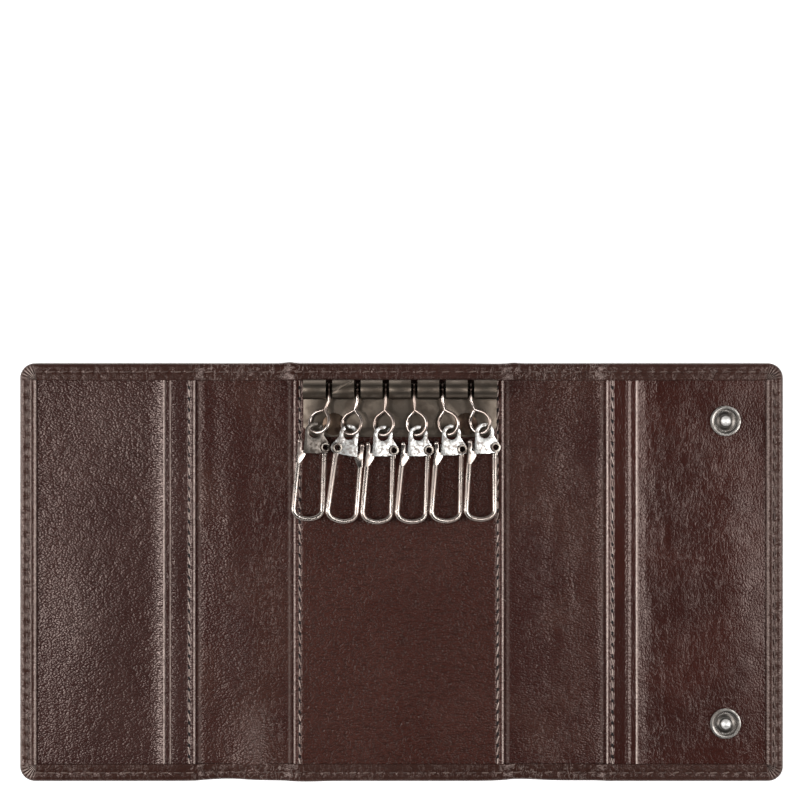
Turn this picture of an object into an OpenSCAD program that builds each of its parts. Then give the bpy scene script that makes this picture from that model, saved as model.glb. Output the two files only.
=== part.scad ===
// Key case, lying open and flat with its inside up.
// X runs across the case, Y up its height and Z up from the surface that it lies on.
// The origin is on that surface, under the middle of the case.

/* [Leather case] */
// Height of the case
case_h = 110; // [100:1:130]
// Left flap, from its fold to its free edge
left_flap_w = 47.2; // [42:0.1:54]
// Left spine, between its two folds
left_spine_w = 23.7; // [18:0.1:28]
// Middle of the case, between the inner folds
centre_w = 57.5; // [56:0.1:64]
// Right spine, between its two folds
right_spine_w = 24.8; // [18:0.1:29]
// Right flap, from its fold to its free edge
right_flap_w = 47.6; // [42:0.1:54]
// Radius of the four outer corners
corner_r = 4; // [2:0.5:8]

/* [Leather] */
// Thickness of the outer leather
outer_t = 1; // [0.8:0.1:1.4]
// Thickness of the lining
lining_t = 0.5; // [0.4:0.1:0.8]
// Thickness of the centre panel and of the slip pockets
panel_t = 0.9; // [0.6:0.1:1.2]
// Thickness of the outer leather where it is pared and turned over as a hem
hem_t = 0.7; // [0.5:0.1:1]
// Width of the turned hem
hem_w = 4.6; // [3.5:0.1:6]
// Room at a fold beyond the thickness of a hem
fold_gap = 0.25; // [0.2:0.05:0.5]

/* [Press studs] */
// How far caps and sockets stand out of the outer leather
snap_proud = 1.2; // [1:0.1:1.6]
// Distance of the studs from the top and bottom edges
snap_edge_d = 15.2; // [12:0.1:20]
// Distance of the studs from the fold of the right flap
stud_fold_d = 32.4; // [28:0.1:34]
// Distance of the sockets from the fold of the left flap
socket_fold_d = 25.3; // [22:0.1:30]
// Radius of the stud's rim
stud_r = 4; // [3.5:0.1:4.5]
// Thickness of the stud's rim
stud_rim_t = 0.55; // [0.4:0.05:0.8]
// Radius of the stud's ball
stud_ball_r = 1.5; // [1.3:0.1:1.7]
// Height of the stud's ball above the leather
stud_h = 2.3; // [2:0.1:2.6]
// Radius of the cap
cap_r = 5.2; // [4.8:0.1:6]
// Radius of the socket
socket_r = 4.6; // [4.2:0.1:5]

/* [Key rail] */
// Number of links and hooks
key_count = 6; // [6:1:6]
// Width of the rail
rail_w = 50.8; // [50:0.1:52]
// Thickness of the rail's sheet
rail_t = 0.65; // [0.5:0.05:0.8]
// Outer radius of the roll
roll_r = 2.6; // [2.5:0.05:2.8]
// Distance of the roll's middle from the top edge of the case
roll_edge_d = 6.94; // [6.8:0.01:8]
// Length of the plate below the roll's middle
plate_l = 12.5; // [11:0.1:13]
// Distance between two slots
slot_pitch = 7.42; // [7.2:0.01:7.6]
// Width of a slot
slot_w = 1.75; // [1.6:0.05:2]
// Radius of the rod inside the roll
rod_r = 0.7; // [0.6:0.05:0.75]
// Radius of the flat rail rivets
rail_rivet_r = 2.9; // [2.4:0.1:3.1]
// Distance between the rail rivets
rail_rivet_pitch = 34.8; // [33:0.1:36]

/* [Links] */
// Diameter of the link's wire
link_d = 0.9; // [0.8:0.05:0.95]
// Length of a link, from the rod to its hook
link_l = 12; // [11.5:0.1:12.5]
// Length of a link's neck
neck_l = 2.6; // [2.3:0.1:2.8]
// Radius of the link's ring
ring_r = 2.9; // [2.7:0.05:3]
// Height of the hook end of a link above the rod
link_rise = 0.75; // [0.7:0.05:1]

/* [Snap hooks] */
// Thickness of the hook's sheet
leaf_t = 0.45; // [0.35:0.05:0.5]
// Space between the two leaves of a hook
leaf_gap = 1.05; // [1:0.05:1.2]
// Radius of the hook's eye
eye_r = 1.55; // [1.5:0.05:1.6]
// Width of the horn round the eye
horn_w = 0.95; // [0.8:0.05:1]
// Distance of the rivet to the side of the eye
rivet_x = 2.9; // [2.8:0.05:3]
// Distance of the rivet below the eye
rivet_y = 3.9; // [3.8:0.05:4.1]
// Radius of the rivet's flange
rivet_flange_r = 1.3; // [1.2:0.05:1.35]
// Radius of the rivet's hole
rivet_hole_r = 0.7; // [0.5:0.05:0.75]
// Diameter of the bail's wire
bail_d = 1.35; // [1.2:0.05:1.4]
// Width of the bail over its wire
bail_w = 9; // [8.6:0.05:9]
// Length of the bail, from the eye to the middle of its lowest wire
bail_l = 22.8; // [21:0.1:24]

/* [Hidden] */
$fn = 48;

// Overrun of every cut past the faces that it goes through
over = 1;
// Gap between two pieces of leather that meet at a fold
cut_gap = 0.05;
// Running clearance of pins and shanks
fit = 0.05;

// Places of the folds across the case
case_w = left_flap_w + left_spine_w + centre_w + right_spine_w + right_flap_w;
left_edge_x = -case_w / 2;
fold_l2_x = left_edge_x + left_flap_w;
fold_l1_x = fold_l2_x + left_spine_w;
fold_r1_x = fold_l1_x + centre_w;
fold_r2_x = fold_r1_x + right_spine_w;
// Upper layers of the wide zones stop this far from their folds
set_back = hem_t + fold_gap;

// Heights of the layers
outer_z = snap_proud;
lining_z = outer_z + outer_t;
panel_z = lining_z + lining_t;
top_z = panel_z + panel_t;

// Press studs
snap_y = case_h / 2 - snap_edge_d;
stud_x = fold_r2_x + stud_fold_d;
socket_x = fold_l2_x - socket_fold_d;
snap_post_r = 1.05;
stud_rim_w = 0.75;
stud_collar_r = 2.1;
stud_collar_h = 1;
stud_neck_share = 0.8;
stud_floor_t = 0.25;
stud_bore_h = 1.2;
cap_flat_r = 2.4;
socket_bore_r = 1.95;
socket_groove_w = 1.1;
socket_groove_t = 0.35;
eyelet_wall = 0.35;
eyelet_flange_r = 3.4;
eyelet_flange_t = 0.25;
eyelet_seat = 0.4;

// Key rail
rail_x = -0.4;
roll_y = case_h / 2 - roll_edge_d;
roll_z = top_z + roll_r;
plate_corner = 2.6;
plate_lap = 0.9;
seam_w = 0.2;
seam_l = 1.5;
plug_l = 1.6;
rail_rivet_edge_d = 3.4;
rail_rivet_y = roll_y - plate_l + rail_rivet_edge_d;
rail_rivet_t = 0.3;
rail_shank_r = 1.2;
rail_tail_r = 2;
rail_tail_t = 0.3;

// Links: each leans sideways from its slot to its hook
link_r = link_d / 2;
loop_r = rod_r + link_r + 2 * fit;
LINK_LEANS = [-24.8, -14.1, -4.7, 6.5, 14.7, 23.1];
link_roll = -30;
link_tilt = -asin(link_rise / link_l);
strand_z = link_r + fit / 2;
eye_past_roll = 0.3;
link_eye_l = roll_r + eye_past_roll;
hang_l = link_l - link_eye_l;
bead_share = 1.03;
wire_sides = 10;
eye_steps = 16;
ring_steps = 32;

// Snap hooks: each leans sideways and is rolled so that its left side is up; the second is turned over
HOOK_LEANS = [-2, -8, -1.5, -2, -1, 0];
FLIPPED = [false, true, false, false, false, false];
hook_roll = 10.5;
horn_r = eye_r + horn_w;
horn_gap = 0.8;
horn_gap_angle = 62;
body_left = 2.6;
body_bottom = 5.65;
body_corner_r = 1.4;
shoulder_x = 2.1;
shoulder_y = 0.3;
back_top = 2.75;
fold_half_w = 1.6;
stack_t = 2 * leaf_t + leaf_gap;
back_z = leaf_t / 2 - stack_t;
bail_z = -(leaf_t + leaf_gap) / 2;
shank_r = 0.95;
rivet_flange_t = 0.25;

// Bails
bail_r = bail_d / 2;
bail_span = bail_w - bail_d;
bail_corner_r = 2.4;
bail_bow = 25;
bail_bow_r = bail_corner_r + (bail_span / 2 - bail_corner_r) / sin(bail_bow);
bail_bow_h = bail_bow_r - (bail_bow_r - bail_corner_r) * cos(bail_bow);
bail_corner_y = -bail_l + bail_bow_h;
bail_eye_r = 1.35;
bail_eye_t = 0.9;
bail_neck_w = 1.25;
neck_past_body = 0.15;
bail_neck_l = body_corner_r + neck_past_body;
latch_t = 0.85;
latch_x = 3.95;
latch_y = 8.2;
knob_x = 3.75;
knob_y = 2.5;
knob_r = 0.6;
knob_neck_w = 0.9;
hold_x = 2.2;
hold_top_y = 4.9;
hold_bottom_y = 6.1;

function slot_x(k) = rail_x + (k - (key_count + 1) / 2) * slot_pitch;

// Where link k carries its hook, after its lean and tilt from the rod
function hung(k) = [
    hang_l * sin(LINK_LEANS[k - 1]),
    -link_eye_l - hang_l * cos(LINK_LEANS[k - 1])
];
function eye_at(k) = [
    slot_x(k) + hung(k)[0],
    roll_y + hung(k)[1] * cos(link_tilt),
    roll_z + hung(k)[1] * sin(link_tilt)
];

// Leather, drawn to the right of a fold at X = 0 with the free end rounded
module rounded_end(w, h, r) {
    translate([0, -h / 2]) square([w - r, h]);
    translate([0, -h / 2 + r]) square([w, h - 2 * r]);
    for (s = [-1, 1])
        translate([w - r, s * (h / 2 - r)]) circle(r);
}

module flap_plate(w, inset, from) {
    difference() {
        rounded_end(w - inset, case_h - 2 * inset, corner_r - inset);
        translate([-over, -case_h / 2 - over]) square([from + over, case_h + 2 * over]);
    }
}

module outer_flap(w) {
    translate([0, 0, outer_z])
        linear_extrude(outer_t) flap_plate(w, 0, cut_gap);
    translate([0, 0, lining_z])
        linear_extrude(lining_t + panel_t)
            difference() {
                flap_plate(w, 0, set_back);
                flap_plate(w, hem_t, 0);
            }
    translate([0, 0, top_z])
        linear_extrude(hem_t)
            difference() {
                flap_plate(w, 0, set_back);
                translate([-over, -case_h / 2 + hem_w]) square([w - hem_w + over, case_h - 2 * hem_w]);
            }
}

module lining_flap(w) {
    translate([0, 0, lining_z])
        linear_extrude(lining_t) flap_plate(w, hem_t, cut_gap);
}

module pocket(w) {
    translate([0, 0, panel_z])
        linear_extrude(panel_t) flap_plate(w, hem_t, set_back);
}

// A straight zone between two folds, with its hem set back from them
module strip(x0, x1, z, t, y0, y1) {
    translate([x0, y0, z]) cube([x1 - x0, y1 - y0, t]);
}

module outer_zone(x0, x1, back, hem_z) {
    strip(x0 + cut_gap, x1 - cut_gap, outer_z, outer_t, -case_h / 2, case_h / 2);
    for (s = [0, 1])
        mirror([0, s, 0]) {
            strip(x0 + back, x1 - back, lining_z, hem_z - lining_z, case_h / 2 - hem_t, case_h / 2);
            strip(x0 + back, x1 - back, hem_z, hem_t, case_h / 2 - hem_w, case_h / 2);
        }
}

module lining_zone(x0, x1) {
    strip(x0 + cut_gap, x1 - cut_gap, lining_z, lining_t, -case_h / 2 + hem_t, case_h / 2 - hem_t);
}

module outer_back() {
    color("#4a3430") outer_zone(fold_l1_x, fold_r1_x, set_back, top_z);
}

module lining_back() {
    color("#4f3a35")
        difference() {
            lining_zone(fold_l1_x, fold_r1_x);
            rail_rivet_places() translate([0, 0, panel_z - rail_tail_t]) cylinder(r = rail_tail_r + fit, h = over);
        }
}

module centre_panel() {
    color("#452d29")
        difference() {
            strip(fold_l1_x + set_back, fold_r1_x - set_back, panel_z, panel_t,
                -case_h / 2 + hem_t, case_h / 2 - hem_t);
            rail_rivet_places()
                translate([0, 0, panel_z - over]) cylinder(r = rail_shank_r + fit, h = panel_t + 2 * over);
        }
}

module outer_spine(x0, x1) {
    color("#4d3733") outer_zone(x0, x1, fold_gap / 2, panel_z);
}

module lining_spine(x0, x1) {
    color("#503a36") lining_zone(x0, x1);
}

module outer_left_flap() {
    color("#4a3534")
        difference() {
            translate([fold_l2_x, 0, 0]) mirror([1, 0, 0]) outer_flap(left_flap_w);
            snap_places(socket_x) cylinder(r = socket_bore_r + eyelet_wall + fit, h = lining_z + over / 2);
        }
}

module lining_left_flap() {
    color("#523f3d")
        difference() {
            translate([fold_l2_x, 0, 0]) mirror([1, 0, 0]) lining_flap(left_flap_w);
            snap_places(socket_x) cylinder(r = eyelet_flange_r + fit, h = lining_z + eyelet_flange_t);
        }
}

module left_pocket() {
    color("#52403d") translate([fold_l2_x, 0, 0]) mirror([1, 0, 0]) pocket(left_flap_w);
}

module outer_right_flap() {
    color("#452f2b")
        difference() {
            translate([fold_r2_x, 0, 0]) outer_flap(right_flap_w);
            snap_places(stud_x) cylinder(r = snap_post_r + fit, h = top_z);
        }
}

module lining_right_flap() {
    color("#47302c")
        difference() {
            translate([fold_r2_x, 0, 0]) lining_flap(right_flap_w);
            snap_places(stud_x) cylinder(r = snap_post_r + fit, h = top_z);
        }
}

module right_pocket() {
    color("#432d29")
        difference() {
            translate([fold_r2_x, 0, 0]) pocket(right_flap_w);
            snap_places(stud_x) cylinder(r = snap_post_r + fit, h = top_z + over);
        }
}

// Both places of the press snaps
module snap_places(x) {
    for (s = [-1, 1])
        translate([x, s * snap_y, 0]) children();
}

module stud(s) {
    color("#8c8580")
        translate([stud_x, s * snap_y, top_z])
            difference() {
                union() {
                    difference() {
                        cylinder(r = stud_r, h = stud_rim_t);
                        translate([0, 0, stud_floor_t]) cylinder(r = stud_r - stud_rim_w, h = stud_rim_t);
                    }
                    cylinder(r1 = stud_collar_r, r2 = stud_neck_share * stud_ball_r, h = stud_collar_h);
                    translate([0, 0, stud_h - stud_ball_r]) sphere(stud_ball_r);
                }
                translate([0, 0, -over]) cylinder(r = stud_ball_r, h = over);
                translate([0, 0, -over]) cylinder(r = snap_post_r + fit, h = stud_bore_h + over);
            }
}

// Domed cap below the leather, with the post that holds the stud
module cap(s) {
    dome_r = (cap_r * cap_r - cap_flat_r * cap_flat_r + snap_proud * snap_proud) / (2 * snap_proud);
    dome_big_r = sqrt(cap_flat_r * cap_flat_r + dome_r * dome_r);
    color("#8a7f74")
        translate([stud_x, s * snap_y, 0]) {
            intersection() {
                cylinder(r = cap_r - fit, h = snap_proud);
                translate([0, 0, dome_r]) sphere(dome_big_r);
            }
            cylinder(r = snap_post_r, h = top_z + stud_bore_h - fit);
        }
}

// Socket below the leather, open in the middle for the stud's ball
module socket(s) {
    color("#8a7f74")
        translate([socket_x, s * snap_y, 0])
            difference() {
                cylinder(r = socket_r, h = snap_proud);
                translate([0, 0, -over]) cylinder(r = socket_bore_r, h = snap_proud + 2 * over);
                translate([0, 0, snap_proud - eyelet_seat])
                    cylinder(r = socket_bore_r + eyelet_wall + fit, h = over);
                translate([0, 0, -over])
                    difference() {
                        cylinder(r = socket_r - socket_groove_w / 2, h = over + socket_groove_t);
                        cylinder(r = socket_r - 3 / 2 * socket_groove_w, h = over + 2 * socket_groove_t);
                    }
            }
}

module eyelet(s) {
    color("#7d7368")
        translate([socket_x, s * snap_y, 0])
            difference() {
                union() {
                    translate([0, 0, outer_z - eyelet_seat + fit])
                        cylinder(r = socket_bore_r + eyelet_wall, h = outer_t + eyelet_seat - fit);
                    translate([0, 0, lining_z]) cylinder(r = eyelet_flange_r, h = eyelet_flange_t - fit);
                }
                cylinder(r = socket_bore_r, h = lining_z + over);
            }
}

// Both places of the flat rivets through the rail
module rail_rivet_places() {
    for (s = [-1, 1])
        translate([rail_x + s * rail_rivet_pitch / 2, rail_rivet_y, 0]) children();
}

// Sheet whose upper edge is rolled into a tube, then slotted into knuckles
module key_rail() {
    color("#5a5048")
        difference() {
            union() {
                translate([rail_x - rail_w / 2, roll_y, roll_z])
                    rotate([0, 90, 0])
                        difference() {
                            cylinder(r = roll_r, h = rail_w);
                            translate([0, 0, -over]) cylinder(r = roll_r - rail_t, h = rail_w + 2 * over);
                        }
                translate([rail_x, roll_y, top_z])
                    linear_extrude(rail_t)
                        polygon([
                            [-rail_w / 2, -plate_lap],
                            [-rail_w / 2, -plate_l + plate_corner],
                            [-rail_w / 2 + plate_corner, -plate_l],
                            [rail_w / 2 - plate_corner, -plate_l],
                            [rail_w / 2, -plate_l + plate_corner],
                            [rail_w / 2, -plate_lap]
                        ]);
            }
            translate([rail_x - rail_w / 2 - over, roll_y - plate_lap - seam_l, top_z + rail_t])
                cube([rail_w + 2 * over, seam_l, seam_w]);
            for (k = [1:key_count])
                translate([slot_x(k) - slot_w / 2, roll_y - roll_r - over, top_z + rail_t])
                    cube([slot_w, 2 * (roll_r + over), 2 * roll_r + over]);
            rail_rivet_places() translate([0, 0, top_z - over]) cylinder(r = rail_shank_r + fit, h = rail_t + 2 * over);
        }
}

// Thin rod with a plug at each end that fills the bore of the roll
module rail_rod() {
    color("#4a443e")
        translate([rail_x - rail_w / 2, roll_y, roll_z])
            rotate([0, 90, 0]) {
                cylinder(r = rod_r, h = rail_w);
                for (z = [0, rail_w - plug_l])
                    translate([0, 0, z]) cylinder(r = roll_r - rail_t - fit, h = plug_l);
            }
}

module rail_rivets() {
    color("#3a2c26")
        rail_rivet_places() {
            translate([0, 0, top_z + rail_t]) cylinder(r = rail_rivet_r, h = rail_rivet_t);
            translate([0, 0, panel_z - fit]) cylinder(r = rail_shank_r, h = panel_t + rail_t + fit + rail_rivet_t / 2);
            translate([0, 0, panel_z - rail_tail_t + fit]) cylinder(r = rail_tail_r, h = rail_tail_t - fit);
        }
}

// A straight piece of wire from p to q, with a bead at q that closes a bend
module wire(p, q, d) {
    v = q - p;
    l = norm(v);
    translate(p) rotate([0, acos(v[2] / l), atan2(v[1], v[0])]) cylinder(d = d, h = l);
    translate(q) sphere(d = d * bead_share);
}

// An arc of wire round the origin, from one angle through a turn
module wire_arc(r, d, from, turn) {
    rotate([0, 0, from]) rotate_extrude(angle = turn) translate([r, 0]) circle(d = d);
}

// Angle at which a straight strand from a point d away leaves an arc of radius r
function leave_angle(r, d) = 90 - acos(r / d);
function unit(v) = v / norm(v);
function rolled(p) = [
    p[0] * cos(link_roll) + p[2] * sin(link_roll),
    p[1],
    p[2] * cos(link_roll) - p[0] * sin(link_roll)
];
// A point of the hanging part of link k, turned sideways by the link's lean
function leaned(p, k) = [
    p[0] * cos(LINK_LEANS[k - 1]) - p[1] * sin(LINK_LEANS[k - 1]),
    p[0] * sin(LINK_LEANS[k - 1]) + p[1] * cos(LINK_LEANS[k - 1]) - link_eye_l,
    p[2]
];

// Route of the wire of link k: over the rod, down the rear strand, round the ring and up the front strand.
// Each entry is a point and the axis that the wire turns about there.
function link_route(k) =
    let (
        eye_side = leave_angle(loop_r, link_eye_l),
        ring_y = -hang_l + ring_r,
        ring_side = leave_angle(ring_r, -neck_l - ring_y),
        eye_axis = [-1, 0, 0],
        ring_axis = rolled([0, 0, 1]),
        neck_axis = unit(eye_axis + ring_axis)
    ) [
        for (i = [0:eye_steps])
            let (a = -eye_side + i / eye_steps * (180 + 2 * eye_side))
            [[0, loop_r * sin(a), loop_r * cos(a)], eye_axis],
        [[0, -link_eye_l, -strand_z], neck_axis],
        [leaned([0, -neck_l, -strand_z], k), neck_axis],
        for (i = [0:ring_steps])
            let (a = 180 - ring_side + i / ring_steps * (180 + 2 * ring_side))
            [leaned(rolled([ring_r * cos(a), ring_y + ring_r * sin(a), 0]), k), ring_axis],
        [leaned([0, -neck_l, strand_z], k), neck_axis],
        [[0, -link_eye_l, strand_z], neck_axis]
    ];

// A closed loop of wire swept along a route
module wire_loop(route, r) {
    n = len(route);
    points = [
        for (i = [0:n - 1])
            let (
                t = unit(route[(i + 1) % n][0] - route[(i + n - 1) % n][0]),
                u = unit(cross(route[i][1], t)),
                v = cross(t, u)
            )
            for (j = [0:wire_sides - 1])
                let (a = 360 * j / wire_sides)
                route[i][0] + r * (cos(a) * u + sin(a) * v)
    ];
    faces = [
        for (i = [0:n - 1], j = [0:wire_sides - 1])
            let (
                i2 = (i + 1) % n,
                j2 = (j + 1) % wire_sides,
                corners = [i * wire_sides + j, i2 * wire_sides + j, i2 * wire_sides + j2, i * wire_sides + j2]
            )
            each [[corners[0], corners[1], corners[2]], [corners[0], corners[2], corners[3]]]
    ];
    polyhedron(points, faces);
}

// Wire link: an eye round the rod, two strands one above the other, and a drop-shaped ring
module link(k) {
    color("#a89f98")
        translate([slot_x(k), roll_y, roll_z])
            rotate([link_tilt, 0, 0]) wire_loop(link_route(k), link_r);
}

// Places what follows in the frame of hook k, whose origin is the middle of its eye
module at_hook(k) {
    translate(eye_at(k))
        rotate([0, 0, HOOK_LEANS[k - 1]])
            rotate([0, hook_roll + (FLIPPED[k - 1] ? 180 : 0), 0])
                children();
}

module leaf_body() {
    polygon([
        [-horn_r, 0],
        [-body_left, -body_bottom],
        [rivet_x, -rivet_y - body_corner_r],
        [rivet_x + body_corner_r * cos(45), -rivet_y + body_corner_r * sin(45)],
        [shoulder_x, -shoulder_y]
    ]);
    translate([rivet_x, -rivet_y]) circle(body_corner_r);
}

module front_leaf() {
    difference() {
        union() {
            leaf_body();
            circle(horn_r);
        }
        circle(eye_r);
        rotate([0, 0, horn_gap_angle]) translate([0, -horn_gap / 2]) square([horn_r + over, horn_gap]);
        translate([rivet_x, -rivet_y]) circle(shank_r + fit);
    }
}

module back_leaf() {
    difference() {
        leaf_body();
        translate([-horn_r - over, -back_top]) square([2 * (horn_r + body_left + over), back_top + over]);
        translate([rivet_x, -rivet_y]) circle(shank_r + fit);
    }
}

// Sheet metal folded at its lower edge, with the horn on its front leaf
module hook(k) {
    color("#c9c5c2")
        at_hook(k) {
            translate([0, 0, -leaf_t / 2]) linear_extrude(leaf_t) front_leaf();
            translate([0, 0, back_z]) linear_extrude(leaf_t) back_leaf();
            translate([-fold_half_w, -body_bottom + leaf_t / 4, back_z]) cube([2 * fold_half_w, leaf_t, stack_t]);
        }
}

// Hollow rivet through both leaves, on which the bail turns
module hook_rivet(k) {
    color("#9a938d")
        at_hook(k)
            translate([rivet_x, -rivet_y, leaf_t / 2])
                difference() {
                    union() {
                        cylinder(r = rivet_flange_r, h = rivet_flange_t);
                        translate([0, 0, -stack_t]) cylinder(r = shank_r, h = stack_t);
                        translate([0, 0, -stack_t - rivet_flange_t]) cylinder(r = rivet_flange_r, h = rivet_flange_t);
                    }
                    translate([0, 0, -stack_t - over]) cylinder(r = rivet_hole_r, h = stack_t + 2 * over);
                }
}

module latch_outline() {
    polygon([
        [-latch_x - bail_r, -latch_y],
        [-knob_x - knob_neck_w / 2, -hold_top_y],
        [-knob_x - knob_neck_w / 2, -knob_y],
        [-knob_x + knob_neck_w / 2, -knob_y],
        [-knob_x + knob_neck_w / 2, -hold_top_y],
        [-hold_x, -hold_top_y],
        [-hold_x, -hold_bottom_y],
        [-latch_x + bail_r, -latch_y]
    ]);
}

// Where the bow of the bail meets a corner, on side s
function bow_end(s) = [
    rivet_x - bail_span / 2 + s * bail_bow_r * sin(bail_bow),
    -bail_l + bail_bow_r - bail_bow_r * cos(bail_bow)
];

// Round wire bail: an eye on the rivet, a bowed lower end and a flattened latch with a knob
module bail(k) {
    left_x = rivet_x - bail_span;
    color("#b0a7a1")
        at_hook(k)
            translate([0, 0, bail_z])
                difference() {
                    union() {
                        translate([rivet_x, -rivet_y, -bail_eye_t / 2]) cylinder(r = bail_eye_r, h = bail_eye_t);
                        translate([rivet_x, bail_corner_y, 0])
                            rotate([-90, 0, 0]) cylinder(r = bail_r, h = -bail_corner_y - rivet_y - bail_neck_l);
                        translate([rivet_x - bail_neck_w / 2, -rivet_y - bail_neck_l - bail_r, -bail_eye_t / 2])
                            cube([bail_neck_w, bail_neck_l + bail_r, bail_eye_t]);
                        translate([rivet_x - bail_corner_r, bail_corner_y, 0])
                            wire_arc(bail_corner_r, bail_d, bail_bow - 90, 90 - bail_bow);
                        translate([rivet_x - bail_span / 2, -bail_l + bail_bow_r, 0])
                            wire_arc(bail_bow_r, bail_d, -90 - bail_bow, 2 * bail_bow);
                        translate([left_x + bail_corner_r, bail_corner_y, 0])
                            wire_arc(bail_corner_r, bail_d, 180, 90 - bail_bow);
                        wire([-latch_x, -latch_y, 0], [left_x, bail_corner_y, 0], bail_d);
                        for (p = [bow_end(-1), bow_end(1), [rivet_x, bail_corner_y]])
                            translate([p[0], p[1], 0]) sphere(d = bail_d * bead_share);
                        translate([0, 0, -latch_t / 2]) linear_extrude(latch_t) latch_outline();
                        translate([-knob_x, -knob_y, 0]) sphere(knob_r);
                    }
                    translate([rivet_x, -rivet_y, -over]) cylinder(r = shank_r + fit, h = 2 * over);
                }
}

outer_back();
lining_back();
centre_panel();
key_rail();
rail_rod();
rail_rivets();
outer_spine(fold_l2_x, fold_l1_x);  // outer_left_spine
lining_spine(fold_l2_x, fold_l1_x);  // lining_left_spine
outer_left_flap();
lining_left_flap();
left_pocket();
socket(1);  // socket_upper
socket(-1);  // socket_lower
eyelet(1);  // eyelet_upper
eyelet(-1);  // eyelet_lower
outer_spine(fold_r1_x, fold_r2_x);  // outer_right_spine
lining_spine(fold_r1_x, fold_r2_x);  // lining_right_spine
outer_right_flap();
lining_right_flap();
right_pocket();
stud(1);  // stud_upper
stud(-1);  // stud_lower
cap(1);  // cap_upper
cap(-1);  // cap_lower
for (k = [1:key_count]) {
    link(k);
    hook(k);
    hook_rivet(k);
    bail(k);
}
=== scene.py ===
"""The looks of a leather key case that lies open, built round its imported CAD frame.

The case is one strip of dark brown leather with a turned and stitched hem. Two spines and two
flaps fold up from the middle, which carries a rolled key rail with six wire links and six snap
hooks.
Sizes are in millimetres until a mesh is made, and places come from the frame.
"""

from __future__ import annotations

import logging
import math
from collections.abc import Sequence
from dataclasses import dataclass, field
from enum import Enum

import bmesh
import bpy
import numpy as np
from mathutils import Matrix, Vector, noise

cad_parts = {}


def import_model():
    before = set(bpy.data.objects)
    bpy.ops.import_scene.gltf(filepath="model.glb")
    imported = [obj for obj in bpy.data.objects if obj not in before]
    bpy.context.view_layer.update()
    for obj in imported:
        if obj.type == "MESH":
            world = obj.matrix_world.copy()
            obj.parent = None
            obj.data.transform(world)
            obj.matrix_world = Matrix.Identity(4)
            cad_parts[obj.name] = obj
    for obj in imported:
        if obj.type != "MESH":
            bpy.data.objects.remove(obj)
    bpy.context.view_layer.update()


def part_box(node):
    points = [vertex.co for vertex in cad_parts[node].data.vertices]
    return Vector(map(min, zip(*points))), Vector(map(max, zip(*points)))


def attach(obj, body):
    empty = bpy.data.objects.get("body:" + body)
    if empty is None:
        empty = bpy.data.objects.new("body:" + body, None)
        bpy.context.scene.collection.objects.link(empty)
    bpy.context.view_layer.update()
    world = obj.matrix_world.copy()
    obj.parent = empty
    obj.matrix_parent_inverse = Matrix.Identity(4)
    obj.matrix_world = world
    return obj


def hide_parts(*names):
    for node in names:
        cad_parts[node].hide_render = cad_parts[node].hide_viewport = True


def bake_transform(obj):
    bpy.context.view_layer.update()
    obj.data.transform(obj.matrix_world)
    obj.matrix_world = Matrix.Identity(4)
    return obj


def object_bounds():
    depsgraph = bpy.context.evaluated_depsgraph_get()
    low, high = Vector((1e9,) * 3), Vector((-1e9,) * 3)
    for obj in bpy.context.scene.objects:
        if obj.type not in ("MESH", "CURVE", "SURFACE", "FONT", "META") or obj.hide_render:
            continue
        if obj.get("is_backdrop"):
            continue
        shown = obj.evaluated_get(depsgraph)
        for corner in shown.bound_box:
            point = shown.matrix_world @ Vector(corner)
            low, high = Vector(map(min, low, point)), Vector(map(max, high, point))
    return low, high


LOG = logging.getLogger("key_case")
MM = 0.001
SMOOTH_ANGLE = math.radians(38)
ROUND_ANGLE = math.radians(60)
BEVEL_ANGLE = math.radians(50)
MERGE_M = 1e-6
COPY_MERGE_M = 2e-6
SNAP_BODIES = {
    "stud": "right_flap", "cap": "right_flap", "socket": "left_flap", "eyelet": "left_flap",
}

Colour = tuple[float, float, float]
Line = list[tuple[float, float, float]]
Points = np.ndarray


class Side(Enum):
    """The two flaps, by the way that each lies from the middle."""

    LEFT = -1
    RIGHT = 1


# Shader and Geometry Nodes trees


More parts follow.
